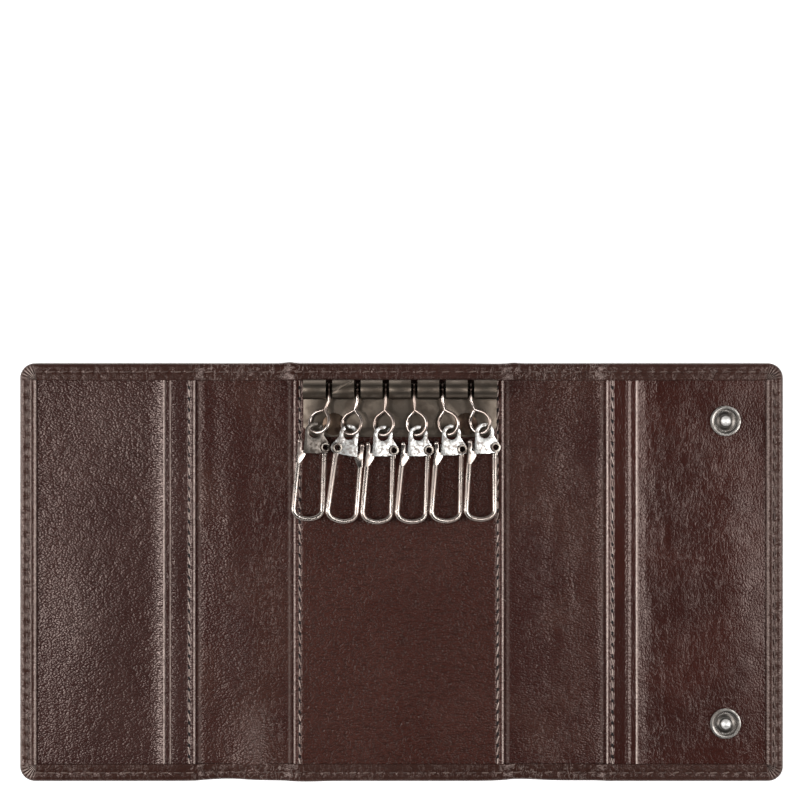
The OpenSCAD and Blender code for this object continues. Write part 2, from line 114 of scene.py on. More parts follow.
class Tree:
    """A node tree that is built by name, with inputs given as values or as nodes' outputs."""

    def __init__(self, tree: bpy.types.NodeTree) -> None:
        """Keeps the tree.

        Args:
            tree: The shader, world or geometry node tree that is filled.
        """
        self.tree = tree

    def add(
        self, kind: str, inputs: dict[str | int, object] | None = None, **settings: object
    ) -> bpy.types.Node:
        """Adds one node.

        Args:
            kind: The node's type name.
            inputs: Values or output sockets for its inputs, by name or number.
            settings: The node's own options.

        Returns:
            The new node.
        """
        node = self.tree.nodes.new(kind)
        for key, value in settings.items():
            setattr(node, key, value)
        for key, value in (inputs or {}).items():
            if isinstance(value, bpy.types.NodeSocket):
                self.tree.links.new(value, node.inputs[key])
            else:
                node.inputs[key].default_value = value
        return node

    def noise(
        self, place: bpy.types.NodeSocket, size: float, detail: float, out: str = "Fac"
    ) -> bpy.types.NodeSocket:
        """Noise with waves of a size in millimetres.

        Args:
            place: Where the noise is taken.
            size: Size of its waves.
            detail: Octaves of finer waves.
            out: Name of the output that is used.

        Returns:
            The noise at the place.
        """
        inputs = {"Vector": place, "Scale": 1 / (size * MM), "Detail": detail}
        node = self.add("ShaderNodeTexNoise", inputs)
        return node.outputs[out]

    def object_place(self) -> bpy.types.NodeSocket:
        """The shaded point in the object's own coordinates."""
        return self.add("ShaderNodeTexCoord").outputs["Object"]

    def share_of(self, attribute: str) -> bpy.types.NodeSocket:
        """A point attribute of the mesh."""
        return self.add("ShaderNodeAttribute", attribute_name=attribute).outputs["Fac"]

    def join(self, value: bpy.types.NodeSocket, node: bpy.types.Node, name: str) -> None:
        """Links an output to a named input."""
        self.tree.links.new(value, node.inputs[name])

    def math(self, operation: str, *values: object) -> bpy.types.NodeSocket:
        """The result of a Math node on the given values or sockets."""
        return self.add("ShaderNodeMath", dict(enumerate(values)), operation=operation).outputs[0]

    def ramp(
        self, value: bpy.types.NodeSocket, low: float, high: float,
        to: tuple[float, float] = (0, 1),
    ) -> bpy.types.NodeSocket:
        """A value mapped smoothly from low and high to the two ends of to.

        Args:
            value: The value to map.
            low: Where the ramp starts.
            high: Where it ends.
            to: Results at the start and at the end.

        Returns:
            The mapped value.
        """
        node = self.add(
            "ShaderNodeMapRange",
            {"Value": value, "From Min": low, "From Max": high, "To Min": to[0], "To Max": to[1]},
            interpolation_type="SMOOTHSTEP",
        )
        return node.outputs["Result"]

    def blend(self, share: object, a: object, b: object) -> bpy.types.NodeSocket:
        """Two colours mixed by a share.

        Args:
            share: Share of the second colour, from 0 to 1.
            a: The first colour.
            b: The second colour.

        Returns:
            The mixed colour.
        """
        node = self.add("ShaderNodeMix", data_type="RGBA")
        for index, value in ((0, share), (6, a), (7, b)):
            if isinstance(value, bpy.types.NodeSocket):
                self.tree.links.new(value, node.inputs[index])
            else:
                node.inputs[index].default_value = value
        return node.outputs[2]


def new_material(name: str) -> tuple[bpy.types.Material, Tree, bpy.types.Node]:
    """Starts a node material.

    Args:
        name: The finish's name.

    Returns:
        The material, its tree and its Principled shader.
    """
    material = bpy.data.materials.new(name)
    material.use_nodes = True
    tree = Tree(material.node_tree)
    return material, tree, material.node_tree.nodes["Principled BSDF"]


@dataclass(frozen=True)
class LeatherFinish:
    """A brown leather with pebbled grain, dark hollows, a polished face, and pale scuffed edges
    that also carry painted highlight lines.

    The mesh says where: one attribute marks scuffed edges and the painted highlight lines along
    folded edges and ridges, its crinkle attribute broken grain, and its rub attribute grain that
    is rubbed and shines softly.
    """

    name: str
    colour: Colour
    patch_colour: Colour
    hollow: Colour = (0.012, 0.0045, 0.0035)
    # Pale colour of scuffed edges, also used to paint highlight lines along folded edges and
    # ridges.
    scuff_and_highlight: Colour = (0.78, 0.63, 0.56)
    tint: Colour = (1.0, 0.80, 0.73)
    roughness: float = 0.20
    grain: float = 0.70
    depth: float = 0.12
    swell: float = 0.05
    gloss: float = 0.5
    contrast: float = 0.45
    broken: float = 0.08
    stretch: tuple[float, float] = (1.0, 1.4)
    turn: float = 25.0
    soft: float = 3.2
    patch: float = 22.0

    def material(self) -> bpy.types.Material:
        """Builds the shader.

        Returns:
            The leather's material.
        """
        material, tree, shader = new_material(self.name)
        place = tree.object_place()
        waver = tree.noise(place, 1.6, 2.0, "Color")
        shift = tree.add("ShaderNodeVectorMath", {0: waver, "Scale": 0.5 * MM}, operation="SCALE")
        bent = tree.add("ShaderNodeVectorMath", {0: place, 1: shift.outputs[0]}, operation="ADD")
        inputs = {"Vector": bent.outputs[0], "Scale": (*self.stretch, 1.0)}
        turned = tree.add("ShaderNodeMapping", inputs)
        turned.inputs["Rotation"].default_value = (0, 0, math.radians(self.turn))
        cells = tree.add(
            "ShaderNodeTexVoronoi", {"Vector": turned.outputs[0], "Scale": 1 / (self.grain * MM)}
        ).outputs["Distance"]
        soft = tree.noise(place, self.soft, 2.0)
        pebble = tree.math("MULTIPLY", tree.math("MULTIPLY", cells, cells), -1.0)
        crinkle = self._crinkles(tree, place)
        rub = tree.share_of("rub")
        pebble = tree.math("MULTIPLY", pebble, tree.math("MULTIPLY_ADD", rub, 0.62, 0.58))
        height = tree.math("MULTIPLY_ADD", crinkle, 0.070 / self.depth, pebble)
        grain = tree.add("ShaderNodeBump", {"Height": height, "Distance": self.depth * MM})
        swell = 1.25 * self.soft * self.swell * MM
        inputs = {"Height": soft, "Distance": swell, "Normal": grain.outputs[0]}
        waves = tree.add("ShaderNodeBump", inputs)
        patches = tree.ramp(tree.noise(place, self.patch, 3.0), 0.38, 0.62)
        colour = tree.blend(patches, (*self.colour, 1), (*self.patch_colour, 1))
        hollow = tree.math("MULTIPLY", tree.ramp(cells, 0.22, 0.72), self.contrast)
        colour = tree.blend(hollow, colour, (*self.hollow, 1))
        broken = tree.math("MULTIPLY", crinkle, self.broken)
        # Pale scuffing and broken grain; along folded edges and ridges these pale lines are
        # painted highlights.
        pale = tree.math("MAXIMUM", self._worn_and_highlit(tree, place), broken)
        colour = tree.blend(pale, colour, (*self.scuff_and_highlight, 1))
        tree.join(colour, shader, "Base Color")
        rough = tree.math("MULTIPLY_ADD", soft, 0.10, self.roughness - 0.05)
        rough = tree.math("MULTIPLY_ADD", rub, 0.09, rough)
        tree.join(tree.math("MULTIPLY_ADD", hollow, 0.15, rough), shader, "Roughness")
        gloss = tree.math("MULTIPLY_ADD", rub, 0.80 * self.gloss, self.gloss)
        gloss = tree.math("MULTIPLY_ADD", hollow, -0.7 * self.gloss, gloss)
        tree.join(gloss, shader, "Specular IOR Level")
        tree.join(waves.outputs[0], shader, "Normal")
        shader.inputs["Specular Tint"].default_value = (*self.tint, 1)
        return material

    def _worn_and_highlit(self, tree: Tree, place: bpy.types.NodeSocket) -> bpy.types.NodeSocket:
        """The share of pale scuffing and painted highlight along the edges, broken up into short
        dashes.

        Args:
            tree: The material's tree.
            place: The shaded point.

        Returns:
            The share, from 0 to 1.
        """
        wear = tree.share_of("wear")
        broken = tree.ramp(tree.noise(place, 0.9, 2.0), 0.30, 0.62, (0.55, 1.0))
        return tree.math("MULTIPLY", wear, broken)

    def _crinkles(self, tree: Tree, place: bpy.types.NodeSocket) -> bpy.types.NodeSocket:
        """Thin branching ridges of broken grain, from 0 to 1.

        Args:
            tree: The material's tree.
            place: The shaded point.

        Returns:
            Height of the ridges where the mesh is crinkled.
        """
        where = tree.share_of("crinkle")
        inputs = {"Vector": place, "Scale": (0.85 / MM, 0.30 / MM, 0.3 / MM)}
        turned = tree.add("ShaderNodeMapping", inputs)
        turned.inputs["Rotation"].default_value = (0, 0, math.radians(7))
        lines = tree.add(
            "ShaderNodeTexNoise",
            {"Vector": turned.outputs[0], "Scale": 1.0, "Detail": 2.5, "Distortion": 0.8},
        ).outputs["Fac"]
        off = tree.math("ABSOLUTE", tree.math("SUBTRACT", lines, 0.5))
        short = tree.ramp(tree.noise(place, 9.0, 1.0), 0.30, 0.52)
        line = tree.math("MULTIPLY", tree.ramp(off, 0.0, 0.024, (1, 0)), short)
        return tree.math("MULTIPLY", line, where)


@dataclass(frozen=True)
class MetalFinish:
    """A plated metal with fine scratches and stains, painted shade beyond a given y and at a low
    level, and a painted highlight at a high level.
    """

    name: str
    colour: Colour
    stain: Colour
    roughness: float
    scratch: float = 0.02
    stain_mm: float = 2.5
    stain_from: float = 0.5
    brushed: tuple[float, float, float] = (1.0, 1.0, 1.0)
    shade_y: float | None = None
    floor_z: float | None = None
    tip_z: float | None = None
    # Colours of painted shade, and of a painted highlight at the tip.
    painted_shade: Colour = (0.05, 0.035, 0.028)
    low_shade: Colour = (0.07, 0.058, 0.050)
    painted_highlight: Colour = (0.90, 0.88, 0.85)

    def material(self) -> bpy.types.Material:
        """Builds the shader.

        Returns:
            The metal's material.
        """
        material, tree, shader = new_material(self.name)
        place = tree.object_place()
        brushed = tree.add("ShaderNodeMapping", {"Vector": place, "Scale": self.brushed})
        lines = tree.noise(brushed.outputs[0], 0.5, 2.0)
        spots = tree.noise(place, self.stain_mm, 4.0)
        share = tree.ramp(spots, self.stain_from - 0.08, self.stain_from + 0.12)
        colour = tree.blend(share, (*self.colour, 1), (*self.stain, 1))
        # Painted shade: darker past the given y, as where a link's eye sits in the rail's slot.
        if self.shade_y is not None:
            up = tree.add("ShaderNodeSeparateXYZ", {0: place}).outputs["Y"]
            deep = tree.ramp(up, (self.shade_y - 0.8) * MM, (self.shade_y + 0.8) * MM)
            colour = tree.blend(deep, colour, (*self.painted_shade, 1))
        rough = tree.math("MULTIPLY_ADD", lines, 0.14, self.roughness - 0.07)
        # Painted shade darkens the metal near floor_z, and a painted highlight makes it pale near
        # tip_z.
        if self.floor_z is not None and self.tip_z is not None:
            level = tree.add("ShaderNodeSeparateXYZ", {0: place}).outputs["Z"]
            low = tree.ramp(level, (self.floor_z - 0.05) * MM, (self.floor_z + 0.15) * MM, (1, 0))
            colour = tree.blend(tree.math("MULTIPLY", low, 0.75), colour, (*self.low_shade, 1))
            tip = tree.ramp(level, (self.tip_z - 0.15) * MM, (self.tip_z + 0.15) * MM)
            colour = tree.blend(tip, colour, (*self.painted_highlight, 1))
            rough = tree.math("MULTIPLY_ADD", tip, 0.16, rough)
        tree.join(colour, shader, "Base Color")
        tree.join(tree.math("MULTIPLY_ADD", share, 0.12, rough), shader, "Roughness")
        inputs = {"Height": lines, "Strength": 0.6, "Distance": self.scratch * MM}
        bump = tree.add("ShaderNodeBump", inputs)
        tree.join(bump.outputs[0], shader, "Normal")
        shader.inputs["Metallic"].default_value = 1.0
        return material


@dataclass(frozen=True)
class ThreadFinish:
    """Waxed thread with a fine twist."""

    name: str
    colour: Colour
    light: Colour
    roughness: float = 0.5
    twist_mm: float = 0.22
    tone_mm: float = 3.5
    twist_depth: float = 0.08

    def material(self) -> bpy.types.Material:
        """Builds the shader.

        Returns:
            The thread's material.
        """
        material, tree, shader = new_material(self.name)
        place = tree.object_place()
        twist = tree.noise(place, self.twist_mm, 2.0)
        share = tree.ramp(tree.noise(place, self.tone_mm, 1.0), 0.35, 0.65)
        tree.join(tree.blend(share, (*self.colour, 1), (*self.light, 1)), shader, "Base Color")
        bump = tree.add("ShaderNodeBump", {"Height": twist, "Distance": self.twist_depth * MM})
        tree.join(bump.outputs[0], shader, "Normal")
        shader.inputs["Roughness"].default_value = self.roughness
        return material


# Sizes read from the frame


def node_box(node: str) -> tuple[Vector, Vector]:
    """The low and the high corner of a CAD node, in millimetres."""
    low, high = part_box(node)
    return low / MM, high / MM


@dataclass(frozen=True)
class CasePlan:
    """Places of the folds and heights of the layers, in millimetres."""

    left_edge: float
    fold_l2: float
    fold_l1: float
    fold_r1: float
    fold_r2: float
    right_edge: float
    half_h: float
    outer_z: float
    lining_z: float
    panel_z: float
    top_z: float
    hem_z: float
    spine_hem_z: float

    @classmethod
    def read(cls) -> CasePlan:
        """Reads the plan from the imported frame.

        Returns:
            The plan of the case.
        """
        low, high = {}, {}
        for name in ("outer_back", "outer_left_spine", "outer_left_flap", "outer_right_spine",
                     "outer_right_flap", "lining_back", "centre_panel"):
            low[name], high[name] = node_box(name)

        def fold(a: str, b: str) -> float:
            """The place halfway between two neighbours."""
            return (high[a].x + low[b].x) / 2

        return cls(
            left_edge=low["outer_left_flap"].x,
            fold_l2=fold("outer_left_flap", "outer_left_spine"),
            fold_l1=fold("outer_left_spine", "outer_back"),
            fold_r1=fold("outer_back", "outer_right_spine"),
            fold_r2=fold("outer_right_spine", "outer_right_flap"),
            right_edge=high["outer_right_flap"].x,
            half_h=high["outer_back"].y,
            outer_z=low["outer_back"].z,
            lining_z=low["lining_back"].z,
            panel_z=low["centre_panel"].z,
            top_z=high["centre_panel"].z,
            hem_z=high["outer_back"].z,
            spine_hem_z=high["outer_left_spine"].z,
        )

    @property
    def folds(self) -> tuple[float, float, float, float]:
        """The four folds from left to right."""
        return self.fold_l2, self.fold_l1, self.fold_r1, self.fold_r2

    def hem_level(self, x: np.ndarray) -> np.ndarray:
        """Height of the hem's face at x: lower on the spines, with a dip at each fold.

        Args:
            x: Places across the case.

        Returns:
            The level at each place.
        """
        drop = self.hem_z - self.spine_hem_z
        low_share = np.zeros_like(x)
        for a, b in ((self.fold_l2, self.fold_l1), (self.fold_r1, self.fold_r2)):
            low_share += step(x, a - 0.4, a + 1.6) * (1 - step(x, b - 1.6, b + 0.4))
        level = self.hem_z - drop * low_share
        for at in self.folds:
            level -= 0.28 * bell(x, at, 0.9)
        return level


def step(x: np.ndarray, low: float, high: float) -> np.ndarray:
    """A smooth step from 0 at low to 1 at high."""
    t = np.clip((x - low) / (high - low), 0, 1)
    return t * t * (3 - 2 * t)


def bell(x: np.ndarray | float, middle: float, width: float) -> np.ndarray | float:
    """A bell curve of height 1 round a middle."""
    return np.exp(-(((x - middle) / width) ** 2))


def rough_noise(
    x: np.ndarray, y: np.ndarray, length: tuple[float, float], seed: float
) -> np.ndarray:
    """Smooth noise from -1 to 1 at each point.

    Args:
        x: Points' places across the case.
        y: Points' places along the folds.
        length: Size of the noise's waves in x and in y.
        seed: Height of the slice through the noise.

    Returns:
        The noise, in the shape of x.
    """
    places = zip(x.ravel(), y.ravel())
    flat = [noise.noise((a / length[0], b / length[1], seed)) for a, b in places]
    return np.array(flat).reshape(x.shape)


def mound(
    x: np.ndarray, y: np.ndarray, middle: tuple[float, float], reach: tuple[float, float]
) -> np.ndarray:
    """A mound of height 1 round a middle, with a reach across the case and one along the folds."""
    return np.exp(-(((x - middle[0]) / reach[0]) ** 2) - ((y - middle[1]) / reach[1]) ** 2)


# Relief of a leather face


@dataclass(frozen=True)
class Undulation:
    """Waves of a soft face, over all of it or between two places across it."""

    rise: float
    length: tuple[float, float]
    seed: float
    span: tuple[float, float] | None = None

    def at(self, x: np.ndarray, y: np.ndarray) -> np.ndarray:
        """Height at the points.

        Args:
            x: Places across the case.
            y: Places along the folds.

        Returns:
            The height at each point.
        """
        waves = self.rise * rough_noise(x, y, self.length, self.seed)
        if self.span is None:
            return waves
        low, high = self.span
        edge = (high - low) / 4
        return waves * step(x, low, low + edge) * (1 - step(x, high - edge, high))


@dataclass(frozen=True)
class Mound:
    """A soft rise round one place, or a hollow where its rise is negative."""

    x: float
    y: float
    rise: float
    reach: tuple[float, float]

    def at(self, x: np.ndarray, y: np.ndarray) -> np.ndarray:
        """Height at the points."""
        return self.rise * mound(x, y, (self.x, self.y), self.reach)


@dataclass(frozen=True)
class Ridge:
    """A straight ridge along y, or a furrow where its rise is negative."""

    x: float
    rise: float
    width: float
    sway: float = 0.0

    def at(self, x: np.ndarray, y: np.ndarray) -> np.ndarray:
        """Height at the points."""
        middle = self.x + self.sway * np.sin(y / 9.0 + self.x)
        return self.rise * bell(x, middle, self.width)


@dataclass(frozen=True)
class Section:
    """A section across x that runs along y: distances from a start one way, and heights."""

    start: float
    way: int
    points: tuple[tuple[float, float], ...]

    def at(self, x: np.ndarray, y: np.ndarray) -> np.ndarray:
        """Height at the points."""
        distances, heights = np.array(self.points).T
        return np.interp((x - self.start) * self.way, distances, heights)


@dataclass(frozen=True)
class Puckers:
    """Leather drawn down at each hole of a seam along y."""

    x: float
    pitch: float
    rise: float
    width: float

    def at(self, x: np.ndarray, y: np.ndarray) -> np.ndarray:
        """Height at the points."""
        wave = 0.5 + 0.5 * np.cos(2 * math.pi * y / self.pitch)
        return -self.rise * wave**3 * bell(x, self.x, self.width)


ReliefPart = Undulation | Mound | Ridge | Section | Puckers


@dataclass(frozen=True)
class Relief:
    """The sum of what shapes a face, faded out round calm places across it."""

    parts: tuple[ReliefPart, ...]
    calm: tuple[float, ...] = ()
    reach: float = 9.0

    def at(self, x: np.ndarray, y: np.ndarray) -> np.ndarray:
        """Height at the points.

        Args:
            x: Places across the case.
            y: Places along the folds.

        Returns:
            The height at each point.
        """
        flat = np.zeros(np.broadcast(x, y).shape)
        total = sum((part.at(x, y) for part in self.parts), flat)
        for place in self.calm:
            total = total * step(np.abs(x - place), 0.35 * self.reach, self.reach)
        return total


@dataclass(frozen=True)
class Marks:
    """Where a leather face is scuffed pale along lines that also stand for painted highlights, and
    where its grain is broken or rubbed.

    Pale lines, scuffed and painted as highlights, are places across the case with their widths and
    shares, crinkled areas are spans across it with their shares, and rubbed areas are places,
    reaches and shares.
    """

    wear: tuple[tuple[float, float, float], ...] = ()
    crinkle: tuple[tuple[float, float, float], ...] = ()
    rub: tuple[tuple[float, float, float, float, float], ...] = ()

    def at(self, x: np.ndarray, y: np.ndarray) -> dict[str, np.ndarray]:
        """The shares at the points, by attribute.

        Args:
            x: Places across the case.
            y: Places along the folds.

        Returns:
            The share at each point, by the attribute's name.
        """
        wear, crinkle = np.zeros_like(x), np.zeros_like(x)
        for place, width, share in self.wear:
            wear = np.maximum(wear, share * bell(x, place, width))
        for low, high, share in self.crinkle:
            soft = (high - low) / 3
            spread = share * step(x, low, low + soft) * (1 - step(x, high - soft, high))
            crinkle = np.maximum(crinkle, spread)
        rub = np.zeros_like(x)
        for at_x, at_y, reach_x, reach_y, share in self.rub:
            rub += share * mound(x, y, (at_x, at_y), (reach_x, reach_y))
        return {"wear": wear, "crinkle": crinkle * (0.75 + 0.25 * np.sin(y / 11.0)), "rub": rub}


# Meshes


def mark(mesh: bpy.types.Mesh, shares: dict[str, np.ndarray]) -> None:
    """Writes shares into a mesh's point attributes.

    Args:
        mesh: The mesh.
        shares: One value for each vertex, by attribute.
    """
    for name, values in shares.items():
        layer = mesh.attributes.new(name, "FLOAT", "POINT")
        layer.data.foreach_set("value", np.clip(values, 0, 1).astype(np.float32).ravel())


def smooth(mesh: bpy.types.Mesh, angle: float) -> bpy.types.Mesh:
    """Shades a mesh smooth, apart from edges sharper than an angle in radians.

    Args:
        mesh: The mesh.
        angle: Angle between faces that stays sharp.

    Returns:
        The same mesh.
    """
    for polygon in mesh.polygons:
        polygon.use_smooth = True
    mesh.set_sharp_from_angle(angle=angle)
    return mesh


def apply_modifier(piece: bpy.types.Object, modifier: bpy.types.Modifier) -> bpy.types.Mesh:
    """Keeps what a piece's only modifier makes as its plain mesh, and removes the modifier.

    Args:
        piece: The piece.
        modifier: Its only modifier.

    Returns:
        The piece's new mesh.
    """
    graph = bpy.context.evaluated_depsgraph_get()
    result = bpy.data.meshes.new_from_object(piece.evaluated_get(graph), depsgraph=graph)
    piece.modifiers.remove(modifier)
    piece.data = result
    return result


def grid_faces(
    count: int, width: int, offset: int = 0, ring: bool = False
) -> list[tuple[int, ...]]:
    """Faces between rows of vertices.

    Args:
        count: Number of rows.
        width: Vertices in a row.
        offset: Number of the first vertex.
        ring: Whether the last row joins the first.

    Returns:
        Four vertex numbers for each face.
    """
    faces = []
    for i in range(count if ring else count - 1):
        a, b = offset + i * width, offset + (i + 1) % count * width
        faces += [(a + j, a + j + 1, b + j + 1, b + j) for j in range(width - 1)]
    return faces


def new_object(
    name: str, mesh: bpy.types.Mesh, material: bpy.types.Material | None
) -> bpy.types.Object:
    """Puts a mesh into the scene.

    Args:
        name: The piece's name.
        mesh: Its mesh, in metres and in place.
        material: Its finish.

    Returns:
        The new object, at the origin.
    """
    piece = bpy.data.objects.new(name, mesh)
    bpy.context.scene.collection.objects.link(piece)
    if material is not None:
        mesh.materials.clear()
        mesh.materials.append(material)
    return piece


def finish_mesh(mesh: bpy.types.Mesh) -> bpy.types.Mesh:
    """Merges doubles, closes open ends, turns faces outwards and smooths the soft edges.

    Args:
        mesh: The mesh to finish.

    Returns:
        The same mesh.
    """
    work = bmesh.new()
    work.from_mesh(mesh)
    bmesh.ops.remove_doubles(work, verts=work.verts, dist=MERGE_M)
    bmesh.ops.dissolve_degenerate(work, edges=work.edges, dist=MERGE_M)
    rim = [edge for edge in work.edges if edge.is_boundary]
    if rim:
        bmesh.ops.holes_fill(work, edges=rim, sides=0)
    bmesh.ops.recalc_face_normals(work, faces=work.faces)
    work.to_mesh(mesh)
    work.free()
    return smooth(mesh, SMOOTH_ANGLE)


def tube_mesh(name: str, rows: Points) -> bpy.types.Mesh:
    """An open tube from a ring of rows of points in millimetres.

    Args:
        name: The mesh's name.
        rows: Points, as rows by columns by 3.

    Returns:
        The open tube.
    """
    mesh = bpy.data.meshes.new(name)
    faces = grid_faces(*rows.shape[:2], ring=True)
    mesh.from_pydata((rows.reshape(-1, 3) * MM).tolist(), [], faces)
    return mesh


@dataclass(frozen=True)
class LeatherSheet:
    """A flat piece of leather with a section across x that runs along y.

    A folded edge is round, and a raw edge, which another piece covers, is square.
    """

    name: str
    x0: float
    x1: float
    low_z: float
    high_z: float
    half_y: float
    folded_left: bool = False
    folded_right: bool = False
    fine: tuple[tuple[float, float], ...] = ()
    fold: float | None = None
    pitch: float = 0.38
    fine_pitch: float = 0.12
    shoulder_w: float = 0.38
    shoulder: float = 0.13
    bend: float = 1.2
    bend_rows: int = 13
    round_steps: int = 8

    def section(self) -> Points:
        """Stations round the section.

        Returns:
            Rows of x, z and the share of the relief that reaches that station.
        """
        thick = self.high_z - self.low_z
        radius = thick / 2
        middle_z = self.low_z + radius
        start = self.x0 + (radius if self.folded_left else 0)
        end = self.x1 - (radius if self.folded_right else 0)
        stations: list[tuple[float, float, float]] = []
        for x in self._places(start, end):
            drop = 0.0
            for folded, edge in ((self.folded_left, start), (self.folded_right, end)):
                if folded:
                    drop += self.shoulder * max(0.0, 1 - abs(x - edge) / self.shoulder_w)
            stations.append((x, self.high_z - drop, 1.0))
        if self.folded_right:
            stations += self._round_edge(end, middle_z, radius, 1)
        else:
            stations.append((end, self.low_z, 0.0))
        if self.fold is not None:
            offsets = np.linspace(-self.bend, self.bend, self.bend_rows)
            stations += [(self.fold - offset, self.low_z, 0.0) for offset in offsets]
        if self.folded_left:
            stations += self._round_edge(start, middle_z, radius, -1)[::-1]
        else:
            stations.append((start, self.low_z, 0.0))
        return np.array(stations)

    def _places(self, start: float, end: float) -> list[float]:
        """Places of the stations across the upper face, closer together in the fine bands.

        Args:
            start: Where the upper face starts.
            end: Where it ends.

        Returns:
            The places, from start to end.
        """
        places = [start]
        while places[-1] < end:
            x = places[-1]
            fine = any(low <= x <= high for low, high in self.fine)
            places.append(x + (self.fine_pitch if fine else self.pitch))
        places[-1] = end
        return places

    def _round_edge(self, x: float, z: float, radius: float, way: int) -> Line:
        """Stations of a folded edge from its top to its underside.

        Args:
            x: The fold's place across the case.
            z: Level of its middle.
            radius: Half its thickness.
            way: 1 towards the right, -1 left.

        Returns:
            The stations, as place, level and share of the relief.
        """
        found = []
        for i in range(1, self.round_steps + 1):
            angle = math.pi * i / self.round_steps
            share = max(0.0, math.cos(angle))
            level = z + radius * math.cos(angle) - self.shoulder * share
            found.append((x + way * radius * math.sin(angle), level, share))
        return found

    def build(
        self, relief: Relief, material: bpy.types.Material, marks: Marks
    ) -> bpy.types.Object:
        """Makes the piece.

        Args:
            relief: What shapes its upper face.
            material: Its leather.
            marks: Where it is scuffed and painted with highlight lines, and where it is crinkled.

        Returns:
            The finished object.
        """
        stations = self.section()
        ys = np.linspace(-self.half_y, self.half_y, round(2 * self.half_y / self.pitch) + 1)
        x = np.repeat(stations[:, :1], len(ys), axis=1)
        y = np.repeat(ys[None, :], len(stations), axis=0)
        shared = stations[:, 2:] > 0
        z = stations[:, 1:2] + np.where(shared, stations[:, 2:] * relief.at(x, y), 0.0)
        mesh = tube_mesh(self.name, np.stack((x, y, z), axis=2))
        on_top = stations[:, 2:] > 0.2
        mark(mesh, {name: values * on_top for name, values in marks.at(x, y).items()})
        return new_object(self.name, finish_mesh(mesh), material)


# Geometry Nodes for what repeats


class RepeatTree(Tree):
    """A Geometry Nodes tree that puts one small piece on many places.

    Its inputs are the geometry and the named ones, and it ends in Realize Instances and Set
    Material.
    """

    def __init__(self, name: str, **inputs: str) -> None:
        """Starts the tree.

        Args:
            name: The tree's name.
            inputs: Kinds of its inputs, such as Float or Material, by name with _ for each space.
        """
        tree = bpy.data.node_groups.new(name, "GeometryNodeTree")
        for label, kind in {"Geometry": "Geometry", **inputs}.items():
            tree.interface.new_socket(
                name=label.replace("_", " "), in_out="INPUT", socket_type=f"NodeSocket{kind}"
            )
        tree.interface.new_socket(
            name="Geometry", in_out="OUTPUT", socket_type="NodeSocketGeometry"
        )
        super().__init__(tree)
        self.given = self.add("NodeGroupInput").outputs

    def along_line(self) -> bpy.types.Node:
        """Points at the pitch along the lines of the given geometry.

        Returns:
            The node that makes the points.
        """
        line = self.add("GeometryNodeMeshToCurve", {"Mesh": self.given["Geometry"]})
        inputs = {"Curve": line.outputs[0], "Length": self.given["Pitch"]}
        return self.add("GeometryNodeCurveToPoints", inputs, mode="LENGTH")

    def facing(self, places: bpy.types.Node) -> bpy.types.NodeSocket:
        """The turn that lays X along the line at each place.

        Args:
            places: The node that makes the points.

        Returns:
            The turn at each point.
        """
        return self.add(
            "FunctionNodeAlignRotationToVector", {"Vector": places.outputs["Tangent"]},
            axis="X", pivot_axis="Z",
        ).outputs[0]

    def xyz(self, **parts: object) -> bpy.types.NodeSocket:
        """A vector from its parts."""
        return self.add("ShaderNodeCombineXYZ", parts).outputs[0]

    def put(
        self, places: bpy.types.NodeSocket, piece: bpy.types.Node, **more: object
    ) -> bpy.types.Node:
        """Copies of a piece at the places."""
        inputs = {"Points": places, "Instance": piece.outputs[0], **more}
        return self.add("GeometryNodeInstanceOnPoints", inputs)

    def close(self, placed: bpy.types.Node) -> bpy.types.NodeTree:
        """Ends the tree in Realize Instances and Set Material, and returns it.

        Args:
            placed: The node that places the copies.

        Returns:
            The finished tree.
        """
        real = self.add("GeometryNodeRealizeInstances", {"Geometry": placed.outputs[0]})
        inputs = {"Geometry": real.outputs[0], "Material": self.given["Material"]}
        dressed = self.add("GeometryNodeSetMaterial", inputs)
        self.add("NodeGroupOutput", {"Geometry": dressed.outputs[0]})
        return self.tree


def stitch_tree() -> bpy.types.NodeTree:
    """Thread stitches along a line, each an arc that dips into its holes.

    Returns:
        A tree with inputs Pitch, Length, Radius, Lift, Slant, Wander, Seed and Material.
    """
    build = RepeatTree("seam_stitches", Pitch="Float", Length="Float", Radius="Float",
                       Lift="Float", Slant="Float", Wander="Float", Seed="Int",
                       Material="Material")
    given = build.given
    places = build.along_line()
    half = build.math("MULTIPLY", given["Length"], 0.5)
    back = build.math("MULTIPLY", half, -1.0)
    dip = build.math("MULTIPLY", given["Lift"], -1.0)
    rise = build.math("MULTIPLY", given["Lift"], 2.2)
    arc = build.add(
        "GeometryNodeCurveQuadraticBezier",
        {"Resolution": 6, "Start": build.xyz(X=back, Z=dip), "Middle": build.xyz(X=0.0, Z=rise),
         "End": build.xyz(X=half, Z=dip)},
    )
    inputs = {"Resolution": 7, "Radius": given["Radius"]}
    wire = build.add("GeometryNodeCurvePrimitiveCircle", inputs)
    thread = build.add(
        "GeometryNodeCurveToMesh",
        {"Curve": arc.outputs[0], "Profile Curve": wire.outputs[0], "Fill Caps": True},
    )
    slant = build.xyz(Z=given["Slant"])
    turned = build.add("GeometryNodeTransform", {"Geometry": thread.outputs[0], "Rotation": slant})
    wander = build.math("MULTIPLY", given["Wander"], -1.0)
    chance = build.add(
        "FunctionNodeRandomValue", {2: wander, 3: given["Wander"], "Seed": given["Seed"]},
        data_type="FLOAT",
    )
    sway = build.add("FunctionNodeEulerToRotation", {0: build.xyz(Z=chance.outputs[1])})
    facing = build.add(
        "FunctionNodeRotateRotation",
        {"Rotation": build.facing(places), "Rotate By": sway.outputs[0]},
        rotation_space="LOCAL",
    )
    return build.close(build.put(places.outputs["Points"], turned, Rotation=facing.outputs[0]))


